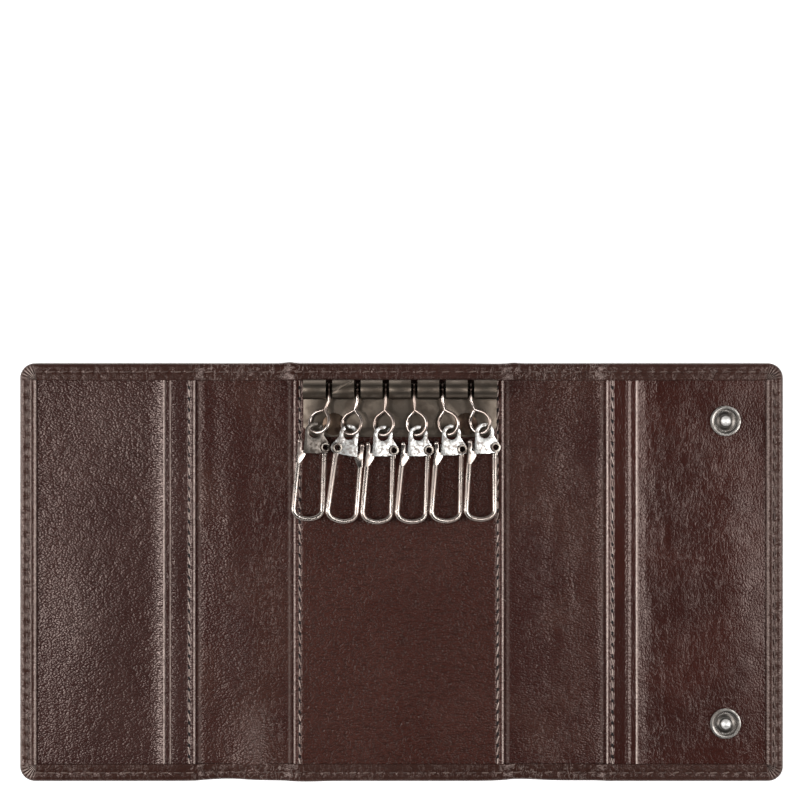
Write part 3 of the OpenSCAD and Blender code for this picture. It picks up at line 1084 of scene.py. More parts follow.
def hole_shade_tree() -> bpy.types.NodeTree:
    """Dark ovals along a line, each a shallow oval painted as the shade in a needle hole.

    Returns:
        A tree with inputs Pitch, Length, Width, Slant and Material.
    """
    build = RepeatTree("seam_hole_shades", Pitch="Float", Length="Float", Width="Float", Slant="Float",
                       Material="Material")
    given = build.given
    places = build.along_line()
    oval = build.add("GeometryNodeMeshUVSphere", {"Segments": 10, "Rings": 6, "Radius": 0.5})
    depth = build.math("MULTIPLY", given["Width"], 0.45)
    size = build.xyz(X=given["Length"], Y=given["Width"], Z=depth)
    flat = build.add(
        "GeometryNodeTransform",
        {"Geometry": oval.outputs["Mesh"], "Rotation": build.xyz(Z=given["Slant"]), "Scale": size},
    )
    return build.close(build.put(places.outputs["Points"], flat, Rotation=build.facing(places)))


def serration_tree() -> bpy.types.NodeTree:
    """A ring of small teeth, as the one pressed into the flange of a stud.

    Returns:
        A tree with inputs Ring Radius, Count, Tooth and Material.
    """
    build = RepeatTree("ring_teeth", Ring_Radius="Float", Count="Int", Tooth="Vector",
                       Material="Material")
    given = build.given
    inputs = {"Resolution": 96, "Radius": given["Ring Radius"]}
    ring = build.add("GeometryNodeCurvePrimitiveCircle", inputs)
    inputs = {"Curve": ring.outputs[0], "Count": given["Count"]}
    places = build.add("GeometryNodeCurveToPoints", inputs, mode="COUNT")
    tooth = build.add("GeometryNodeMeshIcoSphere", {"Radius": 0.5, "Subdivisions": 2})
    inputs = {"Geometry": tooth.outputs["Mesh"], "Scale": given["Tooth"]}
    shaped = build.add("GeometryNodeTransform", inputs)
    placed = build.put(places.outputs["Points"], shaped, Rotation=build.facing(places))
    at_stud = build.add("GeometryNodeMeshToPoints", {"Mesh": given["Geometry"]})
    return build.close(build.put(at_stud.outputs[0], placed))


def grow(
    name: str, base: bpy.types.Mesh, tree: bpy.types.NodeTree, values: dict[str, object]
) -> bpy.types.Object:
    """Runs a Geometry Nodes tree on a mesh and keeps its result as a plain mesh.

    Args:
        name: The piece's name.
        base: The mesh that the tree starts from.
        tree: The Geometry Nodes tree.
        values: The tree's inputs by name, in metres and radians.

    Returns:
        The piece, with no modifier left on it.
    """
    piece = new_object(name, base, None)
    modifier = piece.modifiers.new("repeat", "NODES")
    modifier.node_group = tree
    for item in tree.interface.items_tree:
        if item.item_type == "SOCKET" and item.in_out == "INPUT" and item.name in values:
            modifier[item.identifier] = values[item.name]
    bpy.context.view_layer.update()
    smooth(apply_modifier(piece, modifier), ROUND_ANGLE).name = name
    return piece


def line_mesh(name: str, *lines: Line) -> bpy.types.Mesh:
    """Chains of edges through points in millimetres.

    Args:
        name: The mesh's name.
        lines: The chains, each a row of points.

    Returns:
        The mesh of edges.
    """
    points, edges = [], []
    for line in lines:
        start = len(points)
        points += [[c * MM for c in p] for p in line]
        edges += [(start + i, start + i + 1) for i in range(len(line) - 1)]
    mesh = bpy.data.meshes.new(name)
    mesh.from_pydata(points, edges, [])
    return mesh


# The finishes


@dataclass(frozen=True)
class Palette:
    """Every finish of the case, made once."""

    hem: bpy.types.Material
    lining: bpy.types.Material
    panel: bpy.types.Material
    left_pocket: bpy.types.Material
    right_pocket: bpy.types.Material
    thread: bpy.types.Material
    hem_thread: bpy.types.Material
    hole: bpy.types.Material
    rail: bpy.types.Material
    rivet: bpy.types.Material
    wire: bpy.types.Material
    bail: bpy.types.Material
    bright: bpy.types.Material
    dull: bpy.types.Material
    eye: bpy.types.Material
    snap: bpy.types.Material

    @classmethod
    def mix(cls) -> Palette:
        """Makes the finishes.

        Returns:
            The palette.
        """
        stud, stud_top = node_box("stud_upper")
        return cls(
            hem=LeatherFinish(
                "hem_leather", (0.050, 0.022, 0.017), (0.038, 0.015, 0.011), grain=0.70,
                gloss=0.45, roughness=0.22, depth=0.09, swell=0.06, broken=0.30,
            ).material(),
            lining=LeatherFinish(
                "lining_leather", (0.052, 0.019, 0.014), (0.037, 0.010, 0.008), grain=0.62,
                depth=0.145,
            ).material(),
            panel=LeatherFinish(
                "panel_leather", (0.058, 0.019, 0.014), (0.049, 0.014, 0.010), grain=0.62,
                depth=0.165, swell=0.04, contrast=0.6,
            ).material(),
            left_pocket=LeatherFinish(
                "left_pocket_leather", (0.046, 0.019, 0.016), (0.036, 0.013, 0.011),
                gloss=0.65, grain=0.63, depth=0.15, roughness=0.18,
            ).material(),
            right_pocket=LeatherFinish(
                "right_pocket_leather", (0.043, 0.011, 0.008), (0.033, 0.009, 0.007),
                roughness=0.17, grain=0.62, depth=0.055, swell=0.025, soft=9.0,
                contrast=0.3, stretch=(1.3, 1.0), turn=5.0,
            ).material(),
            thread=ThreadFinish(
                "seam_thread", (0.27, 0.19, 0.16), (0.50, 0.39, 0.34)
            ).material(),
            hem_thread=ThreadFinish(
                "hem_thread", (0.060, 0.032, 0.025), (0.14, 0.092, 0.075)
            ).material(),
            # Near-black ovals that paint the shade in the needle holes.
            hole=ThreadFinish(
                "needle_hole_shade", (0.003, 0.0015, 0.0015), (0.005, 0.002, 0.002), 0.9
            ).material(),
            rail=MetalFinish(
                "rail_nickel", (0.150, 0.122, 0.098), (0.095, 0.074, 0.058), 0.38, 0.012, 4.0,
                0.52, (0.25, 2.0, 1.0),
            ).material(),
            rivet=MetalFinish(
                "rivet_nickel", (0.13, 0.088, 0.062), (0.06, 0.036, 0.026), 0.34
            ).material(),
            # The link wire is painted darker where it sits in the rail's slot, painted shade.
            wire=MetalFinish(
                "link_wire", (0.50, 0.43, 0.39), (0.36, 0.285, 0.245), 0.24, 0.0, 5.0, 0.50,
                shade_y=46.2,
            ).material(),
            bail=MetalFinish(
                "bail_wire", (0.53, 0.465, 0.42), (0.42, 0.34, 0.30), 0.24, 0.0, 6.0, 0.50
            ).material(),
            bright=MetalFinish(
                "bright_sheet", (0.56, 0.55, 0.53), (0.27, 0.24, 0.22), 0.36, 0.03, 0.8, 0.52
            ).material(),
            # A darker copy of the bright sheet for one hook, painted shade.
            dull=MetalFinish(
                "shade_painted_sheet", (0.17, 0.148, 0.130), (0.08, 0.065, 0.055), 0.38, 0.03, 1.2, 0.50
            ).material(),
            eye=MetalFinish(
                "dark_eyelet", (0.26, 0.23, 0.20), (0.09, 0.07, 0.06), 0.26
            ).material(),
            # The snap's stud gets painted shade at its foot and a painted highlight on its dome.
            snap=MetalFinish(
                "snap_gunmetal", (0.36, 0.335, 0.31), (0.22, 0.195, 0.175), 0.32, 0.006, 1.6,
                floor_z=stud.z + 0.30, tip_z=stud_top.z - 0.95,
            ).material(),
        )


def dress(piece: bpy.types.Object, body: str, slot: str, *nodes: str) -> bpy.types.Object:
    """Gives a piece its body and hides the nodes that it stands for.

    Args:
        piece: The finished piece.
        body: The body that it rides on.
        slot: Not used.
        nodes: CAD nodes that it replaces.

    Returns:
        The piece.
    """
    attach(piece, body)
    if nodes:
        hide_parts(*nodes)
    LOG.info("piece %s rides on %s", piece.name, body)
    return piece


# The outer leather with its hem


@dataclass(frozen=True)
class Zone:
    """One fold of the case, with the cuts between which its pieces of leather run."""

    name: str
    fold: float
    x0: float
    x1: float
    bodies: tuple[str, str]
    corner: Side | None = None

    @property
    def cut(self) -> float:
        """Where a zone with corners is cut from its neighbour."""
        return self.x0 if self.corner is Side.RIGHT else self.x1

    @property
    def edge(self) -> float:
        """The short edge of a zone with corners."""
        return self.x1 if self.corner is Side.RIGHT else self.x0

    def bend(self, piece: bpy.types.Object, half: float) -> None:
        """Bakes a piece's place into its mesh and logs the bodies on both sides of the fold.

        Args:
            piece: The piece.
            half: Not used.
        """
        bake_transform(piece)
        LOG.info("piece %s bends between %s and %s", piece.name, *self.bodies)


@dataclass(frozen=True)
class Run:
    """One run of the hem: its outer and inner edge, and how far each sample is into a corner."""

    outer: Points
    inner: Points
    turn: np.ndarray

    @property
    def along(self) -> np.ndarray:
        """Length along the outer edge up to each sample."""
        steps = np.linalg.norm(np.diff(self.outer, axis=0), axis=1)
        return np.concatenate(([0], np.cumsum(steps)))

    @property
    def upright(self) -> np.ndarray:
        """How far the edge runs along y at each sample, from 0 to 1."""
        across = np.abs(self.outer - self.inner)
        return across[:, 0] / np.maximum(across.sum(axis=1), 1e-6)

    @property
    def in_corner(self) -> np.ndarray:
        """1 in the middle of a corner, and 0 outside it."""
        return np.sin(math.pi * np.clip(self.turn, 0, 1))

    def holes(self, pitch: float) -> np.ndarray:
        """1 at each needle hole, and 0 halfway between two."""
        return 0.5 + 0.5 * np.cos(2 * math.pi * self.along / pitch)

    def pleat(self, count: int) -> np.ndarray:
        """1 at the bottom of each pleat of a corner, and 0 on its ridges."""
        return self.in_corner**0.5 * (1 - np.abs(np.sin(math.pi * count * self.turn)) ** 0.6)


@dataclass
class OuterLeather:
    """The outer leather, turned over at its edge into a stitched hem with pleated corners."""

    plan: CasePlan
    palette: Palette
    hem_w: float = 4.6
    hem_t: float = 0.7
    corner_r: float = 4.0
    seam_d: float = 2.3
    seam_gap: float = 2.6
    seam_sink: float = 0.20
    stitch_pitch: float = 3.3
    sample: float = 0.42
    bend_half: float = 2.3
    pleats: int = 6
    corner_rows: int = 64
    zones: list[Zone] = field(default_factory=list)

    def __post_init__(self) -> None:
        """Cuts the strip in the middle of each spine and of the centre."""
        p = self.plan
        left, right = (p.fold_l2 + p.fold_l1) / 2, (p.fold_r1 + p.fold_r2) / 2
        middle = (p.fold_l1 + p.fold_r1) / 2
        self.zones = [
            Zone("left_flap", p.fold_l2, p.left_edge, left, ("left_flap", "left_spine"),
                 Side.LEFT),
            Zone("left_spine", p.fold_l1, left, middle, ("left_spine", "centre")),
            Zone("right_spine", p.fold_r1, middle, right, ("centre", "right_spine")),
            Zone("right_flap", p.fold_r2, right, p.right_edge, ("right_spine", "right_flap"),
                 Side.RIGHT),
        ]

    def _columns(self, x0: float, x1: float) -> np.ndarray:
        """Sample places between two cuts."""
        return np.linspace(x0, x1, max(3, round((x1 - x0) / self.sample) + 1))

    def _straight(self, xs: np.ndarray, way: int) -> tuple[Points, Points]:
        """Outer and inner edge of the hem along the upper (1) or lower (-1) side.

        Args:
            xs: Sample places.
            way: 1 or -1.

        Returns:
            The outer and the inner edge.
        """
        outer = np.stack((xs, way * (self.plan.half_h + self._edge_wave(xs, way))), axis=1)
        inner = np.stack((xs, np.full_like(xs, way * (self.plan.half_h - self.hem_w))), axis=1)
        return outer, inner

    def _edge_wave(self, xs: np.ndarray, way: int) -> np.ndarray:
        """How far the long edge strays outwards, from its soft folds.

        Args:
            xs: Sample places.
            way: 1 for the upper side, -1 for the lower.

        Returns:
            The distance at each place.
        """
        p = self.plan
        if way > 0:
            swells = ((p.fold_l1, 0.30, 1.6), (p.fold_r1 + 1.6, 0.22, 1.6),
                      (p.fold_r1 - 3.0, -0.12, 6.0))
        else:
            swells = ((p.fold_l2 + 7.4, -0.45, 6.0), (p.fold_l1 + 4.5, 0.18, 5.0),
                      (p.fold_r1 + 3.4, -0.40, 6.0))
        return sum(rise * bell(xs, at, reach) for at, rise, reach in swells)

    def _corner(self, edge_x: float, side: Side, way: int) -> tuple[Points, Points]:
        """Outer and inner edge of the hem round one corner, from the long side to the short.

        Args:
            edge_x: Place of the short edge.
            side: The flap's side.
            way: 1 for the upper corner, -1 for the lower.

        Returns:
            The outer and the inner edge.
        """
        r, h, w = self.corner_r, self.plan.half_h, self.hem_w
        x, y = edge_x - side.value * r, way * (h - r)
        angles = np.linspace(0, math.pi / 2, self.corner_rows)
        arc = np.stack(
            (x + side.value * r * np.sin(angles), y + way * r * np.cos(angles)), axis=1
        )
        inner = np.tile(np.array([[edge_x - side.value * w, way * (h - w)]]), (len(arc), 1))
        return arc, inner

    def _inner(self, zone: Zone) -> tuple[float, int]:
        """Where a corner zone's long hems end at its short one, and their number of samples."""
        inner_x = zone.edge - zone.corner.value * self.hem_w
        return inner_x, round(abs(zone.cut - inner_x) / self.sample) + 1

    def _route(self, zone: Zone) -> list[Run]:
        """The runs of a zone's hem.

        Args:
            zone: The zone.

        Returns:
            One run for a zone with corners, and two for one without.
        """
        if zone.corner is None:
            runs = []
            for way in (1, -1):
                outer, inner = self._straight(self._columns(zone.x0, zone.x1), way)
                runs.append(Run(outer, inner, np.zeros(len(outer))))
            return runs
        inner_x, columns = self._inner(zone)
        xs = np.linspace(zone.cut, inner_x, columns)
        half_side = self.plan.half_h - self.hem_w
        ys = np.linspace(half_side, -half_side, round(2 * half_side / self.sample) + 1)
        side = tuple(np.stack((np.full_like(ys, x), ys), axis=1) for x in (zone.edge, inner_x))
        parts, turns = [], []
        for way in (1, -1):
            straight = self._straight(xs, way)
            corner = self._corner(zone.edge, zone.corner, way)
            turn = np.linspace(0, 1, len(corner[0]))
            if way > 0:
                parts += [straight, corner, side]
                turns += [np.zeros(len(xs)), turn, np.zeros(len(ys))]
            else:
                parts += [tuple(a[::-1] for a in corner), tuple(a[::-1] for a in straight)]
                turns += [turn[::-1], np.zeros(len(xs))]
        outer = np.concatenate([a for a, _ in parts])
        inner = np.concatenate([b for _, b in parts])
        return [Run(outer, inner, np.concatenate(turns))]

    def _crumple(self, x: np.ndarray) -> np.ndarray:
        """How crumpled the hem is: more on the spines, and most at the folds.

        Args:
            x: Places across the case.

        Returns:
            The strength of the crumpling.
        """
        crumple = np.full_like(x, 0.35)
        for at in self.plan.folds:
            crumple += bell(x, at, 3.0)
        p = self.plan
        for a, b in ((p.fold_l2, p.fold_l1), (p.fold_r1, p.fold_r2)):
            crumple += 0.8 * step(x, a, a + 3) * (1 - step(x, b - 3, b))
        return crumple

    def _hem_relief(
        self, x: np.ndarray, y: np.ndarray, share: float, run: Run, zone: Zone
    ) -> np.ndarray:
        """Height of the hem's face over its level at one station across it.

        Args:
            x: Places across the case.
            y: Places along the folds.
            share: How far in from the edge the station is, from 0 to 1.
            run: The run of the hem.
            zone: The zone, at whose cuts the relief fades out.

        Returns:
            The height at each sample.
        """
        d = share * self.hem_w
        seam = bell(d, self.seam_d, 0.50)
        holes = run.holes(self.stitch_pitch)
        deep = 0.3 + 0.7 * run.upright
        height = -0.16 * seam * deep - 0.20 * seam * holes**3
        height = height + 0.12 * bell(d, 1.35, 0.5) * (0.6 - holes) * deep
        lip = 0.10 * bell(d, 3.0, 0.26) + 0.12 * bell(d, 4.1, 0.24)
        height = height + lip * run.upright
        crumple = self._crumple(x)
        inward = min(1.0, 3 * share)
        height += 0.12 * crumple * rough_noise(x, y, (1.7, 2.3), 3.1) * inward
        height += 0.05 * crumple * rough_noise(x, y, (0.9, 1.2), 8.4) * inward
        height -= 0.50 * run.pleat(self.pleats) * math.sin(math.pi * min(1.0, share)) ** 0.6
        if zone.corner is not Side.LEFT:
            height = height * step(np.abs(x - zone.x0), 0.0, 1.0)
        if zone.corner is not Side.RIGHT:
            height = height * step(np.abs(x - zone.x1), 0.0, 1.0)
        return height

    def _hem_wear(self, share: float, run: Run) -> np.ndarray:
        """How scuffed the hem is, with its painted highlight lines, at one station across it.

        Args:
            share: How far in from the edge the station is, from 0 to 1.
            run: The run of the hem.

        Returns:
            The share of scuffing and painted highlight at each sample.
        """
        d = share * self.hem_w
        # The inner edge's double line, the edge and the arcs between the stitches are pale lines,
        # scuffed and painted as highlights.
        lines = 0.60 * bell(d, 4.1, 0.12) + 0.16 * bell(d, 3.0, 0.14)
        edge = 0.22 * bell(d, 0.30, 0.30)
        stitch = 0.18 * bell(d, 1.8, 0.4) * (1 - run.holes(self.stitch_pitch)) ** 2
        # A pale line on each pleat ridge of a corner, a painted highlight.
        ridge = 0.7 * (1 - run.pleat(self.pleats)) ** 6 * run.in_corner
        ridge = ridge * math.sin(math.pi * min(1.0, share))
        return (lines + edge + stitch) * run.upright * (1 - run.in_corner) + ridge

    def _stations(self) -> list[tuple[float, str, float]]:
        """Section of the hem: share in from the edge, level that heights count from, offset.

        Returns:
            The stations, from the underside round the edge to the lining.
        """
        w = self.hem_w
        stations = [(1.0, "outer", 0.0), (0.9 / w, "outer", 0.0), (0.35 / w, "outer", 0.10),
                    (0.08 / w, "outer", 0.36), (0.0, "outer", 0.75)]
        for d in (0.0, 0.05, 0.14, 0.28, 0.46, 0.68, 0.92, 1.15):
            stations.append((d / w, "face", -1.0 * (1 - math.sqrt(1 - (1 - d / 1.2) ** 2))))
        stations += [(d / w, "face", 0.0) for d in np.arange(1.35, 4.35, 0.17)]
        stations += [(4.42 / w, "face", -0.03), (4.54 / w, "face", -0.16), (1.0, "face", -0.42)]
        stations += [(4.5 / w, "face", -0.72), (self.hem_t / w, "face", -0.72)]
        stations += [(self.hem_t / w, "lining", 0.0), (1.0, "lining", 0.0)]
        return stations

    def _build_zone(self, zone: Zone) -> bpy.types.Object:
        """Makes the leather of one zone.

        Args:
            zone: The zone.

        Returns:
            A closed piece with the zone's outer face, edge and hem.
        """
        plan = self.plan
        verts: list[Points] = []
        faces: list[tuple[int, ...]] = []
        offset = 0
        rims: list[tuple[list[int], list[int]]] = []
        stations = self._stations()
        marks: dict[str, list[np.ndarray]] = {"wear": [], "crinkle": []}
        for run in self._route(zone):
            level = plan.hem_level(run.outer[:, 0])
            rows = []
            for share, base, rise in stations:
                flat = run.outer * (1 - share) + run.inner * share
                if base == "outer":
                    z = np.full(len(flat), plan.outer_z + rise)
                elif base == "lining":
                    z = np.full(len(flat), plan.lining_z + rise)
                else:
                    z = level + rise
                    if share > 0 and rise > -0.6:
                        z = z + self._hem_relief(flat[:, 0], flat[:, 1], share, run, zone)
                # The right hem gets its pale lines, scuffs and painted highlights, at half
                # strength.
                pale = 0.5 if zone.corner is Side.RIGHT else 1.0
                on_face = 1.0 if base == "face" else 0.0
                marks["wear"].append(on_face * pale * self._hem_wear(share, run))
                crinkle = np.minimum(1.0, 0.45 * self._crumple(flat[:, 0]))
                marks["crinkle"].append(on_face * crinkle)
                rows.append(np.column_stack((flat, z)))
            grid = np.stack(rows)
            count, width = grid.shape[:2]
            verts.append(grid.reshape(-1, 3))
            faces += grid_faces(count, width, offset)
            first = list(range(offset, offset + width))
            last = list(range(offset + (count - 1) * width, offset + count * width))
            rims.append((first, last))
            offset += count * width
        for which in (0, 1):
            faces += self._middle_faces([rim[which] for rim in rims], zone)
        mesh = bpy.data.meshes.new(f"outer_{zone.name}_leather")
        mesh.from_pydata((np.concatenate(verts) * MM).tolist(), [], faces)
        mark(mesh, {name: np.concatenate(rows) for name, rows in marks.items()})
        return new_object(mesh.name, finish_mesh(mesh), self.palette.hem)

    def _middle_faces(self, rims: list[list[int]], zone: Zone) -> list[tuple[int, ...]]:
        """Faces between the upper and the lower run of the hem, at one height.

        Args:
            rims: Vertex numbers of each run's inner rim.
            zone: The zone.

        Returns:
            The faces.
        """
        if zone.corner is None:
            top, low = rims
            return [(top[j], low[j], low[j + 1], top[j + 1]) for j in range(len(top) - 1)]
        rim = rims[0]
        columns = self._inner(zone)[1]
        faces = [(rim[j], rim[-1 - j], rim[-2 - j], rim[j + 1]) for j in range(columns - 2)]
        faces.append(tuple(rim[columns - 2:len(rim) - columns + 2]))
        return faces

    def build(self) -> None:
        """Makes the leather of every zone and hides the nodes that it stands for."""
        nodes = {
            "left_flap": ("outer_left_flap",), "left_spine": ("outer_left_spine", "outer_back"),
            "right_spine": ("outer_right_spine",), "right_flap": ("outer_right_flap",),
        }
        for zone in self.zones:
            piece = self._build_zone(zone)
            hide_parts(*nodes[zone.name])
            zone.bend(piece, self.bend_half)

    def seam_lines(self) -> dict[str, list[Line]]:
        """The hem's seam as lines over each body, clear of the folds.

        Returns:
            Lines of points in millimetres, by body.
        """
        p, d = self.plan, self.seam_d
        y = p.half_h - d
        gap = self.seam_gap
        spans = {
            "left_flap": (p.left_edge + d, p.fold_l2 - gap),
            "left_spine": (p.fold_l2 + gap, p.fold_l1 - gap),
            "centre": (p.fold_l1 + gap, p.fold_r1 - gap),
            "right_spine": (p.fold_r1 + gap, p.fold_r2 - gap),
            "right_flap": (p.fold_r2 + gap, p.right_edge - d),
        }
        lines: dict[str, list[Line]] = {}
        for body, (x0, x1) in spans.items():
            z = float(p.hem_level(np.array([(x0 + x1) / 2]))[0]) - self.seam_sink
            if body == "left_flap":
                lines[body] = [self._flap_seam(Side.LEFT, x1, x0, y, z)]
            elif body == "right_flap":
                lines[body] = [self._flap_seam(Side.RIGHT, x0, x1, y, z)]
            else:
                lines[body] = [[(x0, s * y, z), (x1, s * y, z)] for s in (1, -1)]
        return lines

    def _flap_seam(self, side: Side, cut: float, edge: float, y: float, z: float) -> Line:
        """The seam round a flap, from its cut past both corners and back.

        Args:
            side: The flap's side.
            cut: Where the seam starts and ends.
            edge: The seam's place at the short edge.
            y: Its distance from the middle on the long sides.
            z: Its level.

        Returns:
            The seam's points.
        """
        r = self.corner_r - self.seam_d
        line = [(cut, y, z)]
        for way in (1, -1):
            corner = []
            for i in range(7):
                a = math.pi / 2 * i / 6
                in_x, in_y = r - r * math.sin(a), r - r * math.cos(a)
                corner.append((edge - side.value * in_x, way * (y - in_y), z))
            line += corner if way > 0 else corner[::-1]
        line.append((cut, -y, z))
        return line


@dataclass
class Lining:
    """The lining, which shows on the two spines between the pockets and the centre panel."""

    plan: CasePlan
    palette: Palette
    tuck: float = 3.2
    hidden: float = 1.6
    bend_half: float = 0.85

    def build(self, zones: Sequence[Zone]) -> None:
        """Makes the four pieces of lining.

        Args:
            zones: The zones of the outer leather, whose cuts the lining shares.
        """
        p = self.plan
        nodes = {
            "left_flap": ("lining_left_flap", "lining_left_spine"), "left_spine": ("lining_back",),
            "right_spine": ("lining_right_spine",), "right_flap": ("lining_right_flap",),
        }
        for zone in zones:
            spine_on_right = zone.name in ("left_flap", "right_spine")
            x0 = zone.fold - self.tuck if spine_on_right else zone.x0
            x1 = zone.x1 if spine_on_right else zone.fold + self.tuck
            sheet = LeatherSheet(f"lining_{zone.name}_leather", x0, x1, p.lining_z,
                                 p.panel_z - 0.03, p.half_h - self.hidden, fold=zone.fold)
            relief = Relief(
                (
                    Undulation(0.16, (6.0, 38.0), 1.7),
                    Undulation(0.07, (3.0, 8.0), 5.2),
                    Mound(p.fold_l1 - 10.0, -p.half_h + 5.0, 0.80, (5.0, 13.0)),
                    Mound(p.fold_l1 - 14.0, 4.0, 0.30, (5.0, 30.0)),
                    Mound(p.fold_r1 + 9.0, 4.0, 0.14, (3.0, 42.0)),
                    Ridge(zone.fold, -0.10, 0.9),
                ),
                calm=(p.fold_l1, p.fold_r1),
            )
            crinkled = ((p.fold_l1 - 12, p.fold_l1, 0.5), (p.fold_r1, p.fold_r2, 0.35))
            # A pale line along the fold, scuffed and a painted highlight.
            worn_and_highlit = ((zone.fold, 0.30, 0.12),)
            rub = ((-39.0, -45.0, 3.0, 10.0, 1.0), (-43.0, -16.0, 3.4, 20.0, 0.45),
                   (-48.0, 10.0, 2.5, 60.0, 0.3), (36.0, -6.0, 3.0, 40.0, 0.12),
                   (46.0, 10.0, 2.5, 40.0, 0.15))
            piece = sheet.build(relief, self.palette.lining, Marks(worn_and_highlit, crinkled, rub))
            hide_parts(*nodes[zone.name])
            zone.bend(piece, self.bend_half)


@dataclass
class FlatPieces:
    """The centre panel and the two pockets, with folded edges and a seam beside each."""

    plan: CasePlan
    palette: Palette
    hidden: float = 1.5
    seam_d: float = 1.75
    seam_pitch: float = 2.9
    near_ridge: float = 6.7
    far_ridge: float = 8.3

    def _seam_relief(self, x: float) -> tuple[Ridge, Puckers]:
        """A seam's furrow and its puckers."""
        return Ridge(x, -0.17, 0.42), Puckers(x, self.seam_pitch, 0.12, 0.55)

    def panel(self) -> list[float]:
        """Makes the centre panel.

        Returns:
            The places of its two seams.
        """
        low, high = node_box("centre_panel")
        seams = [low.x + self.seam_d, high.x - self.seam_d]
        sheet = LeatherSheet("centre_panel_leather", low.x, high.x, low.z, high.z,
                             self.plan.half_h - self.hidden, folded_left=True, folded_right=True,
                             fine=((low.x, low.x + 3), (high.x - 3, high.x)))
        parts = [Undulation(0.07, (13.0, 21.0), 2.2)]
        for x in seams:
            parts += self._seam_relief(x)
        # Pale lines along both folded edges, scuffed and painted highlights.
        worn_and_highlit = ((low.x + 0.40, 0.13, 0.55), (high.x - 0.40, 0.14, 0.75))
        piece = sheet.build(Relief(tuple(parts)), self.palette.panel, Marks(worn_and_highlit))
        dress(piece, "centre", "panel_leather", "centre_panel")
        return seams

    def _folded_edges(self, side: Side, mouth: float) -> tuple[ReliefPart, ...]:
        """The relief of a pocket past its seam, where the folded edges below press through.

        Args:
            side: The pocket's flap.
            mouth: Place of its folded mouth.

        Returns:
            The parts of the relief.
        """
        inward = side.value

        def at(distance: float) -> float:
            """The place at a distance in from the mouth."""
            return mouth + inward * distance

        if side is Side.LEFT:
            near, far = self.near_ridge, self.far_ridge
            section = ((3.2, 0.0), (near - 0.9, 0.15), (near - 0.15, 0.30), (near, 0.30),
                       (near + 0.2, 0.02), (far - 0.35, 0.0), (far - 0.1, 0.46), (far + 0.1, 0.50),
                       (far + 0.5, 0.42), (far + 1.7, 0.11), (far + 3.2, 0.02), (far + 5.0, 0.0))
            return (
                Section(mouth, inward, section),
                Mound(at(26), -20.0, 0.50, (12.0, 36.0)),
                Undulation(0.16, (16.0, 28.0), 3.0),
            )
        far = self.far_ridge - 0.15
        section = ((3.6, 0.0), (4.9, 0.02), (5.6, 0.16), (5.9, 0.17), (6.6, 0.02),
                   (far - 0.3, 0.0), (far - 0.08, 0.22), (far + 0.1, 0.25), (far + 0.6, 0.17),
                   (far + 2.4, 0.04), (far + 4, 0.0))
        return (
            Section(mouth, inward, section),
            Undulation(0.18, (20.0, 30.0), 5.0),
            Undulation(0.05, (1.9, 9.0), 8.0, (at(far + 1), at(far + 10))),
            Mound(at(34), -6.0, 0.28, (7.0, 26.0)),
        )

    def _marks(self, side: Side, mouth: float) -> Marks:
        """Where a pocket is scuffed pale along its mouth and ridges, with painted highlight lines
        there, and where it is crinkled.

        Args:
            side: The pocket's flap.
            mouth: Place of its folded mouth.

        Returns:
            The marks.
        """
        def at(distance: float) -> float:
            """The place at a distance in from the mouth."""
            return mouth + side.value * distance

        if side is Side.LEFT:
            # Pale lines at the mouth and on both ridges, scuffed and painted highlights.
            worn_and_highlit = ((at(0.42), 0.13, 0.65), (at(self.near_ridge), 0.12, 0.60),
                    (at(self.far_ridge), 0.15, 0.90))
            rub = ((at(33), -12.0, 8.0, 14.0, 0.45), (at(24), 38.0, 12.0, 14.0, 0.30),
                   (at(self.far_ridge + 1.8), 0, 1.2, 90, 1.0),
                   (at(self.near_ridge - 1.1), 0, 0.7, 90, 0.5))
            return Marks(worn_and_highlit, rub=rub)
        far = self.far_ridge - 0.15
        # Pale lines at the mouth and on the far ridge, scuffed and painted highlights.
        worn_and_highlit = ((at(0.42), 0.13, 0.75), (at(far), 0.14, 0.95))
        crinkled = ((at(far), at(far + 9), 0.8), (at(far + 5), at(44), 0.30))
        rub = ((at(5.7), 0, 0.6, 90, 1.0), (at(far + 2.0), -14, 1.8, 50, 0.35),
               (at(36), 12.0, 3.5, 18.0, 0.35), (at(27), -12, 10, 24, 0.12))
        return Marks(worn_and_highlit, crinkled, rub)

    def pocket(self, side: Side) -> float:
        """Makes one pocket.

        Args:
            side: The flap that it lies on.

        Returns:
            The place of its seam.
        """
        name = f"{side.name.lower()}_pocket"
        low, high = node_box(name)
        mouth = high.x if side is Side.LEFT else low.x
        inward = side.value
        seam = mouth + inward * self.seam_d
        fine = sorted((mouth, mouth + inward * 11))
        sheet = LeatherSheet(
            f"{name}_leather",
            low.x + (self.hidden if side is Side.LEFT else 0),
            high.x - (self.hidden if side is Side.RIGHT else 0),
            low.z, high.z, self.plan.half_h - self.hidden,
            folded_left=side is Side.RIGHT, folded_right=side is Side.LEFT,
            fine=((fine[0], fine[1]),),
        )
        parts = [*self._seam_relief(seam), *self._folded_edges(side, mouth)]
        leather = self.palette.left_pocket if side is Side.LEFT else self.palette.right_pocket
        piece = sheet.build(Relief(tuple(parts)), leather, self._marks(side, mouth))
        dress(piece, f"{side.name.lower()}_flap", "pocket_leather", name)
        return seam


